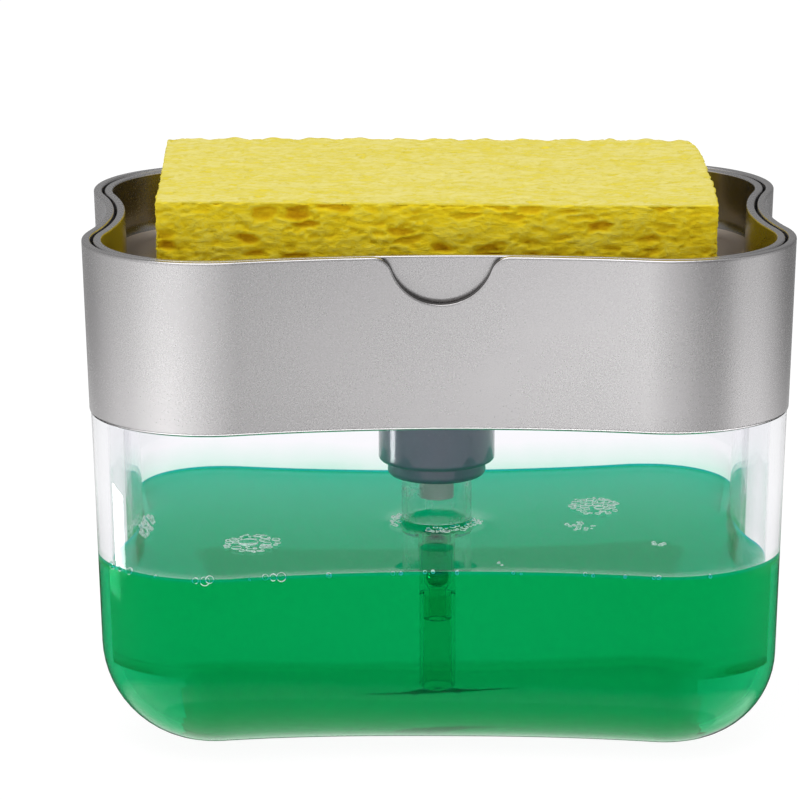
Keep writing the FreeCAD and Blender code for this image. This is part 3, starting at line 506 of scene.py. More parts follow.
def sponge_material():
    """Cellulose: pale skin on the ridges, painted shade making the pores and the cut sides a deeper yellow and brown,
    fibres too fine to model.
    """
    m = Mat("cellulose_sponge", IOR=1.4, Specular_IOR_Level=0.25)
    pore_shade = m.attribute("pore_shade")
    fibre = m.noise(1500, 4.0, 0.65, (0.35, 1, 1))
    blotch = m.noise(120, 3.0, 0.55, (0.5, 1, 1))
    f = m.math("ADD", pore_shade, m.math("MULTIPLY", m.math("SUBTRACT", fibre, 0.5), 0.30))
    f = m.math("ADD", f, m.math("MULTIPLY", m.math("SUBTRACT", blotch, 0.5), 0.28))
    web = m.noise(560, 5.0, 0.72, (0.6, 1, 1.35), 0.9)
    f = m.math("ADD", f, m.math("MULTIPLY", m.math("SUBTRACT", web, 0.5), 0.62))
    # the deeper stops, brown at the top end, are painted shade in the pores
    m.set("Base Color", m.ramp(f, [
        (0.00, (0.860, 0.760, 0.220)),
        (0.12, (0.800, 0.680, 0.090)),
        (0.26, (0.900, 0.740, 0.055)),
        (0.42, (0.930, 0.710, 0.012)),
        (0.70, (0.860, 0.580, 0.006)),
        (1.00, (0.640, 0.350, 0.002))]))
    m.set("Roughness", m.span(fibre, 0.3, 0.7, 0.78, 0.96))
    m.set("Normal", m.bump(m.math("ADD", m.math("MULTIPLY", fibre, 0.35), m.math("SUBTRACT", 1.0, web)), 0.75, 0.0007))
    return m.m


SOAP, FOAM_PAINTED_GLOW, FILM, SPONGE = soap_material(), foam_material(), film_material(), sponge_material()


def dress(ob, material, body, slot, *nodes):
    ob.data.materials.clear()
    ob.data.materials.append(material)
    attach(ob, body)
    if nodes:
        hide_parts(*nodes)
    return ob


# ------------------------------------------------------------------ camera
view = Matrix((
    (0.99993895, 0.00262641, -0.01073284),
    (-0.01104951, 0.23767988, -0.97128069),
    (0.0, 0.97133999, 0.23769439)))
right, up, back = (Vector(view.col[k]) for k in range(3))
roll = math.radians(0.155)
right, up = right * math.cos(roll) - up * math.sin(roll), right * math.sin(roll) + up * math.cos(roll)
cam_data = bpy.data.cameras.new("camera")
cam = bpy.data.objects.new("camera", cam_data)
scene.collection.objects.link(cam)
turned = Matrix((right, up, back)).transposed().to_4x4()
turned.translation = Vector((-0.019980, -0.927702, 0.288894))
cam.matrix_world = turned
cam_data.sensor_width = 36.0
cam_data.lens = 212.34
cam_data.shift_x, cam_data.shift_y = 0.0145, 0.0040
cam_data.clip_start, cam_data.clip_end = 0.05, 50.0
scene.camera = cam

# ------------------------------------------------------------------ reservoir
CAV = lambda z: 5.75 + (4.30 - 5.75) * (z - 2.4) / (73.0 - 2.4)
LEFT = step(8.0, -46.0, OP[:, 0])                                # the left end's base edge is rounder than the right's


def cup(*corners):
    """The cup's section, d inwards from the outline and z up, with the base rounds of the right and of the left end."""
    two = [rounded([(d, z, r[k] if isinstance(r, tuple) else r) for d, z, r in corners], steps=16) for k in (0, 1)]
    assert len(two[0]) == len(two[1])
    return [flat_at((1 - LEFT) * a[0] + LEFT * b[0], (1 - LEFT) * a[1] + LEFT * b[1]) for a, b in zip(*two)]


def flat_at(d, z):
    return np.column_stack([OP - d[:, None] * ON, z])


BASE_R, FLOOR_R = (17.6, 20.8), (15.3, 18.4)
rings = [circle(r, 0.05) for r in (4.0, 8.0, 12.0)]
rings += [flat_ring((OP - 24.6 * ON) * q, 0.05 * (1 - step(0.45, 0.97, np.array(q)))) for q in np.linspace(0.45, 0.97, 16)]
rings += cup((24.6, 0.0, 0.0), (3.35, 0.0, BASE_R), (3.35 - 2.03 * 37.3 / 67.3, 37.3, 0.0), (1.32, 67.30, 0.08), (3.0, 67.30, 0.25), (3.0, 73.0, 0.30),
             (4.30, 73.0, 0.30), (CAV(45.5), 45.5, 0.0), (CAV(37.0), 37.0, 0.0), (5.75, 2.4, FLOOR_R), (24.7, 2.4, 0.0))
rings += [between(24.8, 12, 0.35, 2.4), between(24.8, 12, 0.7, 2.4), circle(12, 2.4), circle(5, 2.4)]
reservoir = dress(skin("reservoir_shell", rings, False, (True, True)), CLEAR_SHADED_ENDS, "base", "clear_plastic", "reservoir")
reservoir.data.materials.append(CLEAR_BASE)
reservoir.data.materials.append(CLEAR_WET)
for poly in reservoir.data.polygons:
    c, n = poly.center, poly.normal
    if n.z < 0.0 and ((c.z < 0.0185 and (c.y > 0.0 or n.z < -0.97 or abs(n.x) > 0.25)) or (c.z < 0.0373 and abs(n.x) > 0.88)):
        poly.material_index = 1
    elif 0.037 < c.z < 0.0455 and n.x * c.x + n.y * c.y < 0.0 and c.y > -0.004:
        poly.material_index = 2

# ------------------------------------------------------------------ soap
lap = 0.05                     # into the wall, so that no film of air is seen between them


def climb(d, high, reach):
    return high * math.exp(-max(d, 0.0) / reach)


RISE = 0.5                     # how far the soap climbs up the wall
edge = CAV(LEVEL + RISE) - lap
rings = [circle(5, 2.4 - lap), circle(12, 2.4 - lap), between(24.6, 12, 0.7, 2.4 - lap), between(24.6, 12, 0.35, 2.4 - lap)]
rings += cup((24.5, 2.4 - lap, 0.0), (5.75 - lap, 2.4 - lap, tuple(r + lap for r in FLOOR_R)), (edge, LEVEL + RISE, 0.0))[:-1]
rings += [inset(CAV(z) - lap, z) for z in (LEVEL - 6.0, LEVEL - 1.0, LEVEL + RISE - 0.3, LEVEL + RISE - 0.1, LEVEL + RISE - 0.04)]
rings.append(inset(edge + 0.02, LEVEL + RISE))
for d in (0.06, 0.12, 0.3, 0.6, 1.0, 1.5, 2.1, 2.9, 4.0, 5.5, 7.5, 10.0, 14.0):
    rings.append(inset(edge + d, LEVEL + climb(d - 0.05, RISE, 1.1)))
for t in (0.25, 0.5, 0.75):
    rings.append(between(edge + 14.0, 14.0, t, LEVEL))
for r in (14.0, 12.0, 10.5, 9.5, 8.8, 8.2, 7.8, 7.5, 7.2, 7.0):
    rings.append(circle(r, LEVEL + climb(r - 7.2, 1.0, 0.9)))
for r, z in ((6.4, 1.0), (5.9, 0.8), (5.5, 0.42), (5.0, 0.2), (4.2, 0.06), (3.0, 0.0), (1.4, 0.0)):
    rings.append(circle(r, LEVEL + z))
soap = dress(skin("soap_liquid", rings, False, (True, True)), SOAP, "base", "liquid_soap", "soap_fill")


# ------------------------------------------------------------------ foam and bubbles on the soap
def foam(name, spots):
    """Bubbles standing on the soap, each (x, y, z, r, lean, way): a dome of film in a wet ring. lean tips it towards way."""
    film_v, film_f, ring_v, ring_f = [], [], [], []
    g = np.random.default_rng(9)
    for x, y, z, r, lean, way in spots:
        tip = Matrix.Rotation(lean, 3, Vector((-math.sin(way), math.cos(way), 0.0)))
        place = lambda q: tuple(np.array((x, y, z)) + np.array(tip @ Vector(q)))
        base, n = len(film_v), 18
        prof = [(r, -0.05 * r)] + [(r * math.cos(a), 0.80 * r * math.sin(a)) for a in np.linspace(0.12, 1.40, 6)]
        for pr, pz in prof:
            film_v += [place((pr * math.cos(2 * math.pi * k / n), pr * math.sin(2 * math.pi * k / n), pz)) for k in range(n)]
        for i in range(len(prof) - 1):
            film_f += [(base + i * n + k, base + i * n + (k + 1) % n, base + (i + 1) * n + (k + 1) % n, base + (i + 1) * n + k) for k in range(n)]
        film_f.append(tuple(base + (len(prof) - 1) * n + k for k in range(n)))
        film_f.append(tuple(base + k for k in reversed(range(n))))
        base, m = len(ring_v), 6
        thick = min(0.5 * r, 0.075 + 0.05 * g.random()) * (0.75 + 0.35 * np.sin(np.arange(n) * 2 * math.pi / n * g.integers(1, 4) + g.uniform(0, 6)))
        for k in range(n):
            a = 2 * math.pi * k / n
            for j in range(m):
                b = 2 * math.pi * j / m
                pr = r * 1.02 + thick[k] * math.cos(b)
                ring_v.append(place((pr * math.cos(a), pr * math.sin(a), 0.10 * r + thick[k] * math.sin(b))))
        for k in range(n):
            for j in range(m):
                ring_f.append((base + k * m + j, base + (k + 1) % n * m + j, base + (k + 1) % n * m + (j + 1) % m, base + k * m + (j + 1) % m))
    films = dress(mesh_object(name + "_films", np.array(film_v), film_f), FILM, "base", "liquid_soap")
    rings = dress(mesh_object(name + "_threads", np.array(ring_v), ring_f), FOAM_PAINTED_GLOW, "base", "liquid_soap")
    return films, rings


def cluster(seed, cx, cy, ax, ay, count, r0, r1, ring=False, lift=None):
    """Non-overlapping domes in an oval, or round its edge."""
    g = np.random.default_rng(seed)
    got = []
    for _ in range(count * 40):
        if len(got) >= count:
            break
        a = g.uniform(0, 2 * math.pi)
        q = g.uniform(0.82, 1.05) if ring else SQ(g.random())
        x, y = cx + ax * q * math.cos(a), cy + ay * q * math.sin(a)
        r = g.uniform(r0, r1) * (1.0 if ring else 1.15 - 0.5 * q)
        if all(math.hypot(x - b[0], y - b[1]) > 0.88 * (r + b[3]) for b in got):
            got.append((x, y, LEVEL + (lift(x, y) if lift else 0.0), r, 0.0, 0.0))
    return got


# ------------------------------------------------------------------ collar
NOTCH_R, NOTCH_Z, SHOULDER_R = 10.0, 102.25, 4.0
SHOULDER_X, SHOULDER_Z = 13.2, 97.6
swing = math.atan2(NOTCH_Z - SHOULDER_Z, -SHOULDER_X)         # from the right shoulder's centre to the notch's
top = [(x, RIM, 0.0, 1.0) for x in np.linspace(22.0, 13.6, 7)]
for a in np.linspace(math.pi / 2, swing, 13):
    top.append((SHOULDER_X + SHOULDER_R * math.cos(a), SHOULDER_Z + SHOULDER_R * math.sin(a), math.cos(a), math.sin(a)))
for a in np.linspace(swing - math.pi, -math.pi / 2, 26)[1:]:
    top.append((NOTCH_R * math.cos(a), NOTCH_Z + NOTCH_R * math.sin(a), -math.cos(a), -math.sin(a)))
half = np.array(top)[::-1]                                      # from the middle outwards
half[0, 0] = 0.0
right_x = np.concatenate([half[:, 0], np.linspace(22.0, FRONT_X, 30)[1:-1]])
right_z = np.concatenate([half[:, 1], np.full(28, RIM)])
right_m = np.vstack([half[:, 2:], np.tile((0.0, 1.0), (28, 1))])


def front_at(x):
    s = np.sqrt(RF * RF - x * x)
    return np.column_stack([x, s - YF]), np.column_stack([-x / RF, -s / RF])


h, p_ = math.pi / 2, math.pi
rest = [
    arc(CX, -CY, RC, -HIGH, -LOW, 60, False), arc(XS, 0, RS, p_ + GAMMA, p_ - GAMMA, 28, True), arc(CX, CY, RC, LOW, HIGH, 60, False),
    arc(0, YF, RF, -h + BETA, -h - BETA, 60, True), arc(-CX, CY, RC, p_ - HIGH, p_ - LOW, 60, False),
    arc(-XS, 0, RS, GAMMA, -GAMMA, 28, True), arc(-CX, -CY, RC, p_ + LOW, p_ + HIGH, 60, False)]
far_p, far_n = np.concatenate([a for a, _ in rest]), np.concatenate([b for _, b in rest])
n_right, n_far = len(right_x), len(far_p)
col_x = np.concatenate([right_x, np.zeros(n_far), [-FRONT_X], -right_x[:0:-1]])
col_z = np.concatenate([right_z, np.full(n_far, RIM), [RIM], right_z[:0:-1]])
col_m = np.vstack([right_m, np.tile((0.0, 1.0), (n_far, 1)), [(0.0, 1.0)], right_m[:0:-1] * (-1, 1)])
is_front = np.concatenate([np.ones(n_right, bool), np.zeros(n_far, bool), np.ones(1, bool), np.ones(n_right - 1, bool)])


def collar_ring(x, z, thick):
    """One ring of the collar: each column's x and height, at a depth into the wall."""
    p, n = front_at(np.where(is_front, x, 0.0))
    p[~is_front], n[~is_front] = far_p, far_n
    d = 1.03 * (RIM - z) / 34.23 + thick
    return np.column_stack([p - d[:, None] * n, z])


def below_edge(delta):
    return col_x - delta * col_m[:, 0], col_z - delta * col_m[:, 1]


WALL, FOOT, EDGE = 1.65, 67.37, 0.42
x1, z1 = below_edge(1.3)
n_cols = len(col_x)
rings = [collar_ring(col_x, np.full(n_cols, FOOT + EDGE * (1 - math.sin(a))), EDGE * (1 - math.cos(a)))
         for a in np.linspace(math.pi / 2, 0, 6)]                # round of the lower outer edge
for t in (0.006, 0.1, 0.25, 0.4, 0.55, 0.7, 0.85):
    rings.append(collar_ring(col_x + (x1 - col_x) * t, (FOOT + EDGE) + (z1 - FOOT - EDGE) * t, 0.0))
for delta in (1.3, 0.9, 0.55):
    rings.append(collar_ring(*below_edge(delta), 0.0))
for a in np.linspace(0, math.pi / 2, 7):
    rings.append(collar_ring(*below_edge(EDGE * (1 - math.sin(a))), EDGE * (1 - math.cos(a))))
rings.append(collar_ring(*below_edge(0.0), EDGE + 0.1))
rings.append(collar_ring(*below_edge(0.0), WALL - EDGE - 0.1))
for a in np.linspace(math.pi / 2, 0, 7):
    rings.append(collar_ring(*below_edge(EDGE * (1 - math.sin(a))), WALL - EDGE * (1 - math.cos(a))))
for delta in (0.55, 0.9, 1.3):
    rings.append(collar_ring(*below_edge(delta), WALL))
for t in (0.85, 0.6, 0.3, 0.006):
    rings.append(collar_ring(col_x + (x1 - col_x) * t, (FOOT + EDGE) + (z1 - FOOT - EDGE) * t, WALL))
for a in np.linspace(0, math.pi / 2, 6):
    rings.append(collar_ring(col_x, np.full(n_cols, FOOT + EDGE * (1 - math.sin(a))), WALL - EDGE * (1 - math.cos(a))))
collar = dress(skin("collar_band", rings, True), METAL, "lid", "satin_metal", "collar")
collar.data.materials.append(METAL_GAP_SHADOW)
# the notch's edge faces take the near-black copy: painted shadow in the gap in front of the tray
for poly in collar.data.polygons:
    c, n = poly.center, poly.normal
    if abs(c.x) < 0.0128 and c.y < -0.03 and 0.088 < c.z < 0.1011 and n.y > -0.62 and n.z > 0.05:
        poly.material_index = 1

# ------------------------------------------------------------------ tray
TRAY = lambda z: 2.25 + 1.03 * (RIM - z) / 34.23
side_out = rounded([(24.0, 86.7), (TRAY(86.7), 86.7, 5.0), (TRAY(101.45), 101.45, 0.35), (TRAY(101.45) + 1.6, 101.45, 0.35),
                    (TRAY(88.3) + 1.6, 88.3, 3.4), (24.0, 88.3)], steps=10)
rings = [circle(4.95, 86.7), circle(5.2, 86.7), circle(8.0, 86.7), between(24.2, 10, 0.7, 86.7), between(24.2, 10, 0.35, 86.7)]
rings += [inset(d, z) for d, z in side_out]
rings += [between(24.2, 10, 0.35, 88.3), between(24.2, 10, 0.7, 88.3), circle(8.0, 88.3), circle(5.2, 88.3), circle(4.95, 88.3)]
rings += [circle(4.77, 88.23), circle(4.7, 88.05), circle(4.7, 86.95), circle(4.77, 86.77)]
tray = dress(skin("sponge_tray", rings, True), METAL_TRAY_SHADED, "tray", "satin_metal_tray", "tray")
tray.data.materials.append(METAL)
tray.data.materials.append(METAL_FLOOR_WARM_REFLECTION)
# the inner walls keep the darker copy, which is painted shade; the floor takes the warm copy, a painted reflection of
# the sponge; the rim and outer wall take the plain metal
for poly in tray.data.polygons:
    c = poly.center
    if c.z > 0.10105 or (c.z > 0.0872 and poly.normal.x * c.x + poly.normal.y * c.y > 0.0 and math.hypot(c.x, c.y) > 0.02):
        poly.material_index = 1
    elif c.z < 0.0900 and poly.normal.z > 0.6:
        poly.material_index = 2

# ------------------------------------------------------------------ pump
cap = dress(lathe("pump_cap", rounded([
    (7.3, 47.7, 0.2), (10.0, 47.7, 1.1), (10.0, 50.8, 0.3), (11.85, 50.8, 1.0), (11.85, 66.0, 0.4), (10.25, 66.0, 0.2),
    (10.25, 53.4, 0.1), (7.3, 53.4, 0.1)], True, 7)), SLATE, "lid", "slate_plastic", "pump_retainer_cap")

cylinder = lathe("pump_barrel", rounded([
    (5.95, 62.0, 0.2), (7.15, 62.0, 0.2), (7.15, 55.0, 0.1), (10.1, 55.0, 0.25), (10.1, 53.4, 0.25), (7.15, 53.4, 0.1),
    (7.15, 38.65), (7.15, 38.60),
    (7.15, 32.4, 1.2), (3.8, 30.6, 0.5), (3.8, 24.5, 0.3), (2.85, 24.5, 0.1), (2.85, 19.0, 0.25), (1.7, 19.0, 0.25),
    (1.7, 25.2, 0.2), (2.65, 26.6, 0.3), (2.65, 33.0, 0.2), (5.95, 34.6, 0.6), (5.95, 38.60), (5.95, 38.65)], True, 6), n=112)
dress(cylinder, CLEAR_PUMP, "lid", "clear_pump_plastic", "pump_cylinder")
cylinder.data.materials.append(WET_PUMP)
cylinder.data.materials.append(WET_BARREL_SHADED)
for poly in cylinder.data.polygons:
    c = poly.center
    # under the soap the wide barrel takes the darker tint, which is painted shade; the rest takes the soap-filled tint
    poly.material_index = 0 if c.z > 0.03862 else (2 if c.z > 0.0315 and math.hypot(c.x, c.y) > 0.0055 else 1)

dip = dress(lathe("dip_tube_clear", rounded([
    (2.9, 5.0, 0.2), (3.8, 5.0, 0.2), (3.8, 24.4, 0.25), (2.9, 24.4, 0.2)], True, 5), n=80), WET_PUMP, "lid", "clear_pump_plastic", "dip_tube")

# the return spring: closed, ground ends and seven turns
turns, n_pt = 7.0, 560
q = np.linspace(0, 1, n_pt)
pitch = np.where(q < 0.11, 0.12 * q / 0.11, np.where(q > 0.89, 1 - 0.12 * (1 - q) / 0.11, 0.12 + 0.76 * (q - 0.11) / 0.78))
for _ in range(60):
    pitch[1:-1] = 0.5 * pitch[1:-1] + 0.25 * (pitch[:-2] + pitch[2:])
ang = 2 * math.pi * turns * q
lo_z, hi_z = 63.25 + 0.5, 83.0 - 0.5
spring = dress(tube("return_spring_coil", np.column_stack([5.25 * np.cos(ang), 5.25 * np.sin(ang), lo_z + (hi_z - lo_z) * pitch]), 0.5, 12),
               SPRING, "lid", "spring_steel", "return_spring")
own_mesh(spring)

for node, material in {
        "pump_deck": WHITE, "flange_gasket": RUBBER, "stem_guide": WHITE, "ball_retainer": WHITE, "piston": WHITE, "plunger_stem": WHITE,
        "nozzle_cap": SLATE, "head_o_ring": RUBBER, "tray_hub": GREY, "inlet_ball": BALL, "outlet_ball": BALL}.items():
    NODES[node].data.materials.clear()
    NODES[node].data.materials.append(material)

# ------------------------------------------------------------------ foam placed on the soap
def heap(x, y, cx, cy, ax, ay, high):
    return high * max(0.0, 1 - ((x - cx) / ax) ** 2 - ((y - cy) / ay) ** 2)


spots = [(-38.2, -17.5, LEVEL + 0.35, 1.9, 0.0, 0.0)]
spots += [b for b in cluster(3, -37.3, -17.6, 5.6, 6.6, 40, 0.45, 1.25, lift=lambda x, y: heap(x, y, -37.3, -17.6, 7, 8, 0.5)) if math.hypot(b[0] + 38.2, b[1] + 17.5) > 1.8 + b[3]]
spots += cluster(4, 33.0, 10.5, 5.0, 6.5, 40, 0.40, 1.05, lift=lambda x, y: heap(x, y, 33.0, 10.5, 6.5, 8, 0.5))
spots += cluster(5, 29.2, -4.7, 3.0, 3.4, 15, 0.30, 0.75)
spots += cluster(6, 43.9, -18.8, 1.2, 1.6, 4, 0.35, 0.8)
spots += cluster(8, 12.0, -33.0, 0.8, 1.2, 3, 0.3, 0.5)
# round the barrel, thickest in front and to the right
barrel_lift = lambda x, y: climb(math.hypot(x, y) - 7.2, 0.8, 1.2)
spots += [b for b in cluster(7, 0.0, 0.0, 8.9, 8.9, 110, 0.22, 0.62, True, barrel_lift)
          if b[1] < 2.5 - 0.35 * b[0] and not (-8.0 < b[0] < -3.2 and b[1] < -3.0)]
# against the left wall, clinging to it
for b in cluster(10, -59.4, -3.4, 1.6, 9.0, 40, 0.35, 0.95):
    up_wall = max(0.0, 1.0 - abs(b[1] + 6.0) / 9.0)
    spots.append((b[0] - 0.4, b[1], LEVEL + 0.3 + 1.1 * up_wall * np.random.default_rng(int(1e4 * (b[1] + 90))).random(), b[3], 0.9, 0.0))


def wall_point(x):
    """A point of the cup's inner front wall at the soap's edge, and the wall's bearing there."""
    front = OP[:, 1] < -10
    k = np.where(front)[0][np.argmin(np.abs((OP - 5.0 * ON)[front, 0] - x))]
    q = OP[k] - (CAV(LEVEL) + 0.25) * ON[k]
    return q, math.atan2(-ON[k, 1], -ON[k, 0])


g = np.random.default_rng(12)
for x, n_b, r0, r1 in ((-61.5, 3, 0.55, 0.95), (-46.0, 3, 0.5, 0.9), (-32.5, 3, 0.45, 0.9), (-22.0, 2, 0.25, 0.5), (-38.0, 1, 0.15, 0.2), (-55.0, 1, 0.15, 0.2),
                       (-8.0, 4, 0.18, 0.4), (-2.0, 4, 0.18, 0.35), (3.0, 3, 0.18, 0.35), (15.0, 2, 0.15, 0.3), (29.0, 3, 0.15, 0.35), (36.0, 3, 0.15, 0.35),
                       (42.0, 3, 0.18, 0.4), (52.0, 2, 0.15, 0.3)):
    for k in range(n_b):
        q, way = wall_point(x + (k - 0.5 * (n_b - 1)) * (r0 + r1) * 0.95)
        spots.append((q[0], q[1], LEVEL + RISE - g.uniform(0.1, 0.5), g.uniform(r0, r1), 1.25, way + math.pi))
foam("soap_bubbles", spots)


# ------------------------------------------------------------------ sponge
def sponge_mesh():
    lx, ly, z0, z1 = 110.0, 67.0, 88.42, 110.35
    size = np.array([lx, ly, z1 - z0])
    count = np.array([290, 96, 56])
    axes = [np.linspace(-s / 2, s / 2, c + 1) for s, c in zip(size, count)]
    index, verts, faces = {}, [], []

    def vid(i, j, k):
        key = (i, j, k)
        if key not in index:
            index[key] = len(verts)
            verts.append((axes[0][i], axes[1][j], axes[2][k]))
        return index[key]

    nx, ny, nz = count
    for k in (0, nz):
        for i in range(nx):
            for j in range(ny):
                f = (vid(i, j, k), vid(i + 1, j, k), vid(i + 1, j + 1, k), vid(i, j + 1, k))
                faces.append(f if k else f[::-1])
    for j in (0, ny):
        for i in range(nx):
            for k in range(nz):
                f = (vid(i, j, k), vid(i + 1, j, k), vid(i + 1, j, k + 1), vid(i, j, k + 1))
                faces.append(f[::-1] if j else f)
    for i in (0, nx):
        for j in range(ny):
            for k in range(nz):
                f = (vid(i, j, k), vid(i, j + 1, k), vid(i, j + 1, k + 1), vid(i, j, k + 1))
                faces.append(f if i else f[::-1])
    p = np.array(verts)
    h = size / 2
    soft = 0.7                                                 # how round the cut edges are
    core = np.clip(p, -(h - soft), h - soft)
    n = p - core
    n /= np.linalg.norm(n, axis=1)[:, None]
    p = core + soft * n
    g = np.random.default_rng(41)

    def cells(sx, sy, sz, jitter=0.95):
        """Nearest and second nearest of a jittered lattice of pore centres, in units of the lattice, and the nearest one's own numbers."""
        s = np.array([sx, sy, sz])
        m = np.ceil(size / s).astype(int) + 3
        grid = np.stack(np.meshgrid(*[np.arange(c) for c in m], indexing="ij"), -1).reshape(-1, 3).astype(float)
        grid[:, 0] += 0.5 * (grid[:, 2] % 2)
        pts = grid + (g.random(grid.shape) - 0.5) * jitter - 1.0
        tree = KDTree(len(pts))
        for a, q in enumerate(pts):
            tree.insert(q, a)
        tree.balance()
        u = (p + h) / s
        f1, f2, own = np.zeros(len(p)), np.zeros(len(p)), np.zeros(len(p), int)
        for a, q in enumerate(u):
            (_, ia, da), (_, _, db) = tree.find_n(q, 2)
            f1[a], f2[a], own[a] = da, db, ia
        luck = g.random((len(pts), 2))
        return (f2 - f1) / (f1 + f2 + 1e-9), luck[own]

    flat = np.abs(n[:, 2]) ** 3                                 # 1 on the top and bottom skins
    cut = 1 - flat                                              # 1 on the cut sides
    warp = np.column_stack([layered(p * (0.16, 0.25, 0.5) + o, 2) for o in (3.1, 41.7, 83.3)]) - 0.5
    keep = p.copy()
    p = p + warp * (3.0, 2.0, 2.2)                              # pore walls wander
    big, big_luck = cells(6.4, 4.2, 2.1)
    mid, mid_luck = cells(2.7, 1.9, 0.92)
    tiny, tiny_luck = cells(1.35, 1.05, 0.8)
    p = keep
    open_big = (big_luck[:, 0] < 0.42) * (0.45 + 1.15 * big_luck[:, 1])
    open_mid = (mid_luck[:, 0] < 0.55) * (0.15 + 0.42 * mid_luck[:, 1])
    open_tiny = (tiny_luck[:, 0] < 0.40) * (0.10 + 0.26 * tiny_luck[:, 1])
    crease = 1 - np.abs(2 * layered(keep * (0.28, 0.45, 0.95) + 7.7, 3) - 1) * 2.2
    crease = np.clip(crease, 0, 1) ** 2
    depth = cut * (open_big * step(0.10, 0.42, big) + open_mid * step(0.08, 0.45, mid) + 0.34 * (1 - crease))
    dash = (mid_luck[:, 0] < 0.055) * (0.35 + 0.5 * mid_luck[:, 1]) * step(0.12, 0.5, mid)
    depth += flat * (open_tiny * step(0.12, 0.55, tiny) + dash + 0.10 * (1 - crease))
    gap = np.sort(h - np.abs(keep), axis=1)[:, 1]               # distance to the nearest edge
    depth = np.minimum(depth, 0.35 + 0.75 * np.maximum(gap, 0))
    swell = (layered(keep * 0.055 + 31.0, 2) - 0.5) * 0.9 + (layered(keep * 0.3 + 5.0, 2) - 0.5) * 0.45
    out = keep - n * depth[:, None] + n * (swell - 0.25)[:, None] * (0.45 + 0.55 * cut)[:, None]
    # the right end bulges a little and its far corner is worn
    end = step(0.0, 1.0, (keep[:, 0] - 30) / 25)
    out[:, 0] += end * 0.9 * (1 - (keep[:, 1] / h[1]) ** 2) - 0.4 * end
    worn = step(0.0, 1.0, (keep[:, 0] - 44) / 11) * step(0.0, 1.0, (keep[:, 1] - 22) / 11.5) * step(0.0, 1.0, (keep[:, 2] + 2) / 12)
    out[:, 0] -= 0.8 * worn
    out[:, 2] -= 0.35 * worn
    # the far top edge is scalloped
    far = step(0.0, 1.0, (keep[:, 1] - 24) / 9.5) * step(0.0, 1.0, (keep[:, 2] - 6) / 4.5)
    out[:, 2] += 0.17 * far * (np.sin(2 * math.pi * keep[:, 0] / 8.6) + 0.5 * np.sin(2 * math.pi * keep[:, 0] / 3.7 + 1.0))
    low = keep[:, 2] < -h[2] + 0.8                               # lies flat on the tray
    out[low, 2] = np.maximum(out[low, 2], -h[2])
    out[:, 2] = np.minimum(out[:, 2], h[2] + 0.35)
    # thinner towards the right end, most at its front
    lean = step(-1.2, 1.0, keep[:, 0] / h[0]) * (1.05 - 0.35 * keep[:, 1] / h[1])
    out[:, 2] -= lean * (keep[:, 2] + h[2]) / size[2]
    world = np.column_stack([out[:, 0] - 0.4, out[:, 1] + 1.2, out[:, 2] + (z0 + z1) / 2])
    ob = mesh_object("sponge_block", world, faces, False)
    # painted shade: darker and more saturated the deeper the pore, and more on the cut sides than on the skins
    pore_shade = cut * (0.30 + 0.60 * depth / 1.7) + flat * (0.03 + 0.40 * depth / 0.9)
    at = ob.data.attributes.new("pore_shade", "FLOAT", "POINT")
    at.data.foreach_set("value", np.clip(pore_shade, 0, 1).astype(np.float32))
    return ob


sponge = dress(sponge_mesh(), SPONGE, "sponge", "cellulose_sponge", "sponge")


# ------------------------------------------------------------------ floor, light
def plain(name, colour, glow, rough=0.9):
    m = Mat(name, Base_Color=(*colour, 1.0), Roughness=rough, Specular_IOR_Level=0.0)
    m.b.inputs["Emission Color"].default_value = (1.0, 1.0, 1.0, 1.0)
    m.b.inputs["Emission Strength"].default_value = glow
    m.m.cycles.emission_sampling = "NONE"
    return m.m


floor = mesh_object("floor", np.array([(-6000, -6000, -0.25), (6000, -6000, -0.25), (6000, 6000, -0.25), (-6000, 6000, -0.25)]), [(0, 1, 2, 3)])
floor.data.materials.append(plain("floor_paper", (0.12, 0.12, 0.12), 0.94))
floor.visible_glossy = False

# soft panels round the object, seen only in its gloss: brightness by bearing (degrees right of the camera) and by height
LOWER = [(-180, 0.45), (-156, 0.45), (-134, 0.42), (-122, 0.48), (-107, 0.61), (-96, 0.77), (-78, 0.92), (-57, 1.25), (-43, 1.50), (-30, 1.35), (-13, 1.12),
         (-3, 1.00), (5, 0.90), (16, 0.79), (30, 0.61), (47, 0.55), (57, 0.75), (67, 0.96), (90, 0.87), (113, 0.55), (138, 0.32), (180, 0.45)]
UPPER = [(-180, 0.40), (-132, 0.37), (-120, 0.43), (-111, 0.53), (-99, 0.61), (-73, 0.78), (-54, 1.02), (-28, 1.11), (-11, 0.87), (-3, 0.76), (5, 0.65),
         (16, 0.55), (27, 0.39), (44, 0.27), (54, 0.45), (63, 0.68), (84, 0.73), (104, 0.49), (122, 0.27), (140, 0.25), (180, 0.40)]
ring_r, n_b, heights = 600.0, 180, [-900, -500, -430, -330, -200, -140, -126, -112, -95, -72, -50, -25, 0, 25, 60, 120, 200, 400, 800, 1200]


def panel_glow(b, z):
    """Brightness of the panels at a bearing and a height: the two tables stand 45 mm apart."""
    lo, hi = np.interp(b, *zip(*LOWER)), np.interp(b, *zip(*UPPER))
    t = np.clip((z + 95) / 45, -2.0, 2.6)
    near = lo * (hi / lo) ** (t if 0 <= t <= 1 else (0.8 * t if t < 0 else 1 + 0.5 * (t - 1)))
    near *= 0.88 + 1.08 * step(-60.0, -105.0, np.array(float(z)))
    dark = step(-112.0, -140.0, np.array(float(z))) * (1 - step(-330.0, -430.0, np.array(float(z))))
    return (near + (0.75 * hi - near) * step(40.0, 220.0, np.array(float(z)))) * (1 - 0.96 * dark)


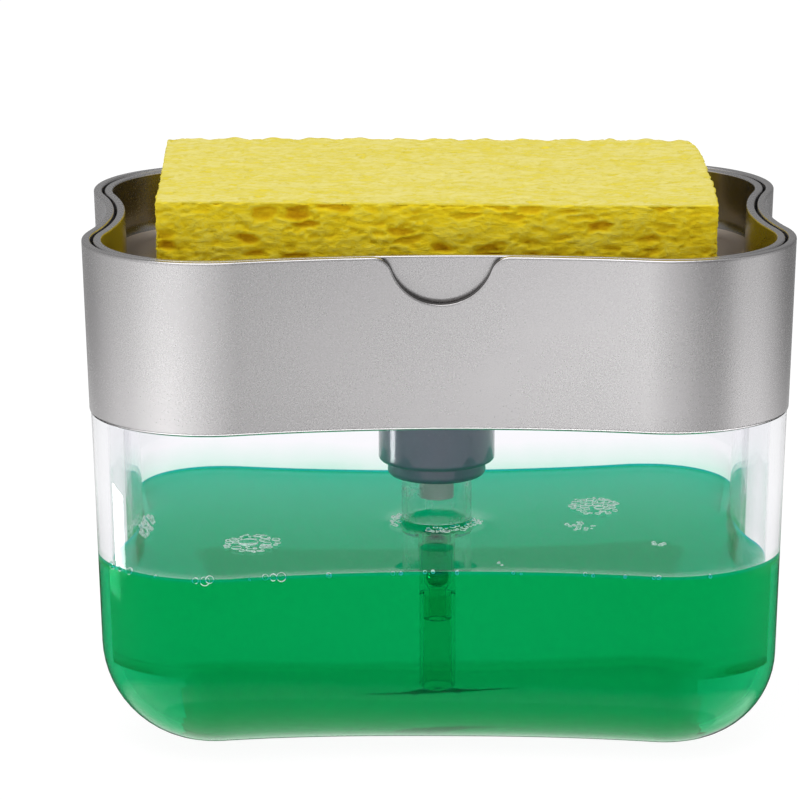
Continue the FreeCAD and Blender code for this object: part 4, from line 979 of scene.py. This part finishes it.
verts, glow = [], []
for z in heights:
    for k in range(n_b):
        b = -180 + 360 * k / n_b
        a = math.radians(b)
        verts.append((ring_r * math.sin(a), -ring_r * math.cos(a), z))
        glow.append(panel_glow(b, z))
faces = [(i * n_b + k, i * n_b + (k + 1) % n_b, (i + 1) * n_b + (k + 1) % n_b, (i + 1) * n_b + k) for i in range(len(heights) - 1) for k in range(n_b)]
panels = mesh_object("panels", np.array(verts), faces)
at = panels.data.attributes.new("glow", "FLOAT", "POINT")
at.data.foreach_set("value", np.array(glow, np.float32))
pm = bpy.data.materials.new("panel_light")
pm.use_nodes = True
pm.node_tree.nodes.clear()
po, pe, pa = (pm.node_tree.nodes.new(k) for k in ("ShaderNodeOutputMaterial", "ShaderNodeEmission", "ShaderNodeAttribute"))
pa.attribute_name = "glow"
pm.node_tree.links.new(pa.outputs["Fac"], pe.inputs["Strength"])
pm.node_tree.links.new(pe.outputs[0], po.inputs["Surface"])
pm.cycles.emission_sampling = "NONE"
panels.data.materials.append(pm)
for flag in ("visible_camera", "visible_diffuse", "visible_transmission", "visible_volume_scatter", "visible_shadow"):
    setattr(panels, flag, False)

# a narrow light to the left, seen only through the clear cup: the gleam on the pump cap
verts = [(180 * math.sin(math.radians(b)), -180 * math.cos(math.radians(b)), z) for z in (-60.0, 19.0) for b in range(-103, -88)]
card = mesh_object("side_light", np.array(verts), [(k, k + 1, k + 16, k + 15) for k in range(14)])
card.data.materials.append(plain("side_light_glow", (0.0, 0.0, 0.0), 12.0))
for flag in ("visible_camera", "visible_diffuse", "visible_glossy", "visible_volume_scatter", "visible_shadow"):
    setattr(card, flag, False)

world = bpy.data.worlds.new("studio")
scene.world = world
world.use_nodes = True
wt = world.node_tree
wt.nodes.clear()
wo = wt.nodes.new("ShaderNodeOutputWorld")
bg = wt.nodes.new("ShaderNodeBackground")
tc = wt.nodes.new("ShaderNodeTexCoord")
sep = wt.nodes.new("ShaderNodeSeparateXYZ")
rampn = wt.nodes.new("ShaderNodeValToRGB")
lp = wt.nodes.new("ShaderNodeLightPath")
mixn = wt.nodes.new("ShaderNodeMix")
mixn.data_type = "RGBA"
wt.links.new(tc.outputs["Generated"], sep.inputs[0])
mr = wt.nodes.new("ShaderNodeMapRange")
mr.inputs["From Min"].default_value, mr.inputs["From Max"].default_value = -1.0, 1.0
wt.links.new(sep.outputs["Z"], mr.inputs["Value"])
wt.links.new(mr.outputs["Result"], rampn.inputs["Fac"])
els = rampn.color_ramp.elements
els[0].position, els[0].color = 0.50, (0.92, 0.92, 0.92, 1)
els[1].position, els[1].color = 0.6225, (0.86, 0.86, 0.86, 1)
for pos, v in ((0.627, 0.62), (0.6353, 0.40), (0.6405, 0.40), (0.6455, 0.88), (0.72, 0.82), (0.80, 0.62), (1.0, 0.80)):
    e = els.new(pos)
    e.color = (v, v, v, 1)
wt.links.new(lp.outputs["Is Camera Ray"], mixn.inputs[0])
wt.links.new(rampn.outputs["Color"], mixn.inputs[6])
mixn.inputs[7].default_value = (1.0, 1.0, 1.0, 1.0)
wt.links.new(mixn.outputs[2], bg.inputs["Color"])
wt.links.new(bg.outputs[0], wo.inputs["Surface"])


def area(name, at, aim, size, watts):
    d = bpy.data.lights.new(name, "AREA")
    d.shape, d.size, d.size_y, d.energy = "RECTANGLE", size[0], size[1], watts
    o = bpy.data.objects.new(name, d)
    o.location = at
    o.rotation_euler = (Vector(aim) - Vector(at)).to_track_quat("-Z", "Y").to_euler()
    scene.collection.objects.link(o)
    return o


area("top_softbox", (-0.10, -0.18, 0.85), (0, 0, 0.08), (0.7, 0.6), 2.4)

scene.view_settings.view_transform = "Standard"
scene.cycles.max_bounces = 28
scene.cycles.transmission_bounces = 24
scene.cycles.glossy_bounces = 8
scene.cycles.diffuse_bounces = 4
scene.cycles.transparent_max_bounces = 16
scene.cycles.blur_glossy = 0.4
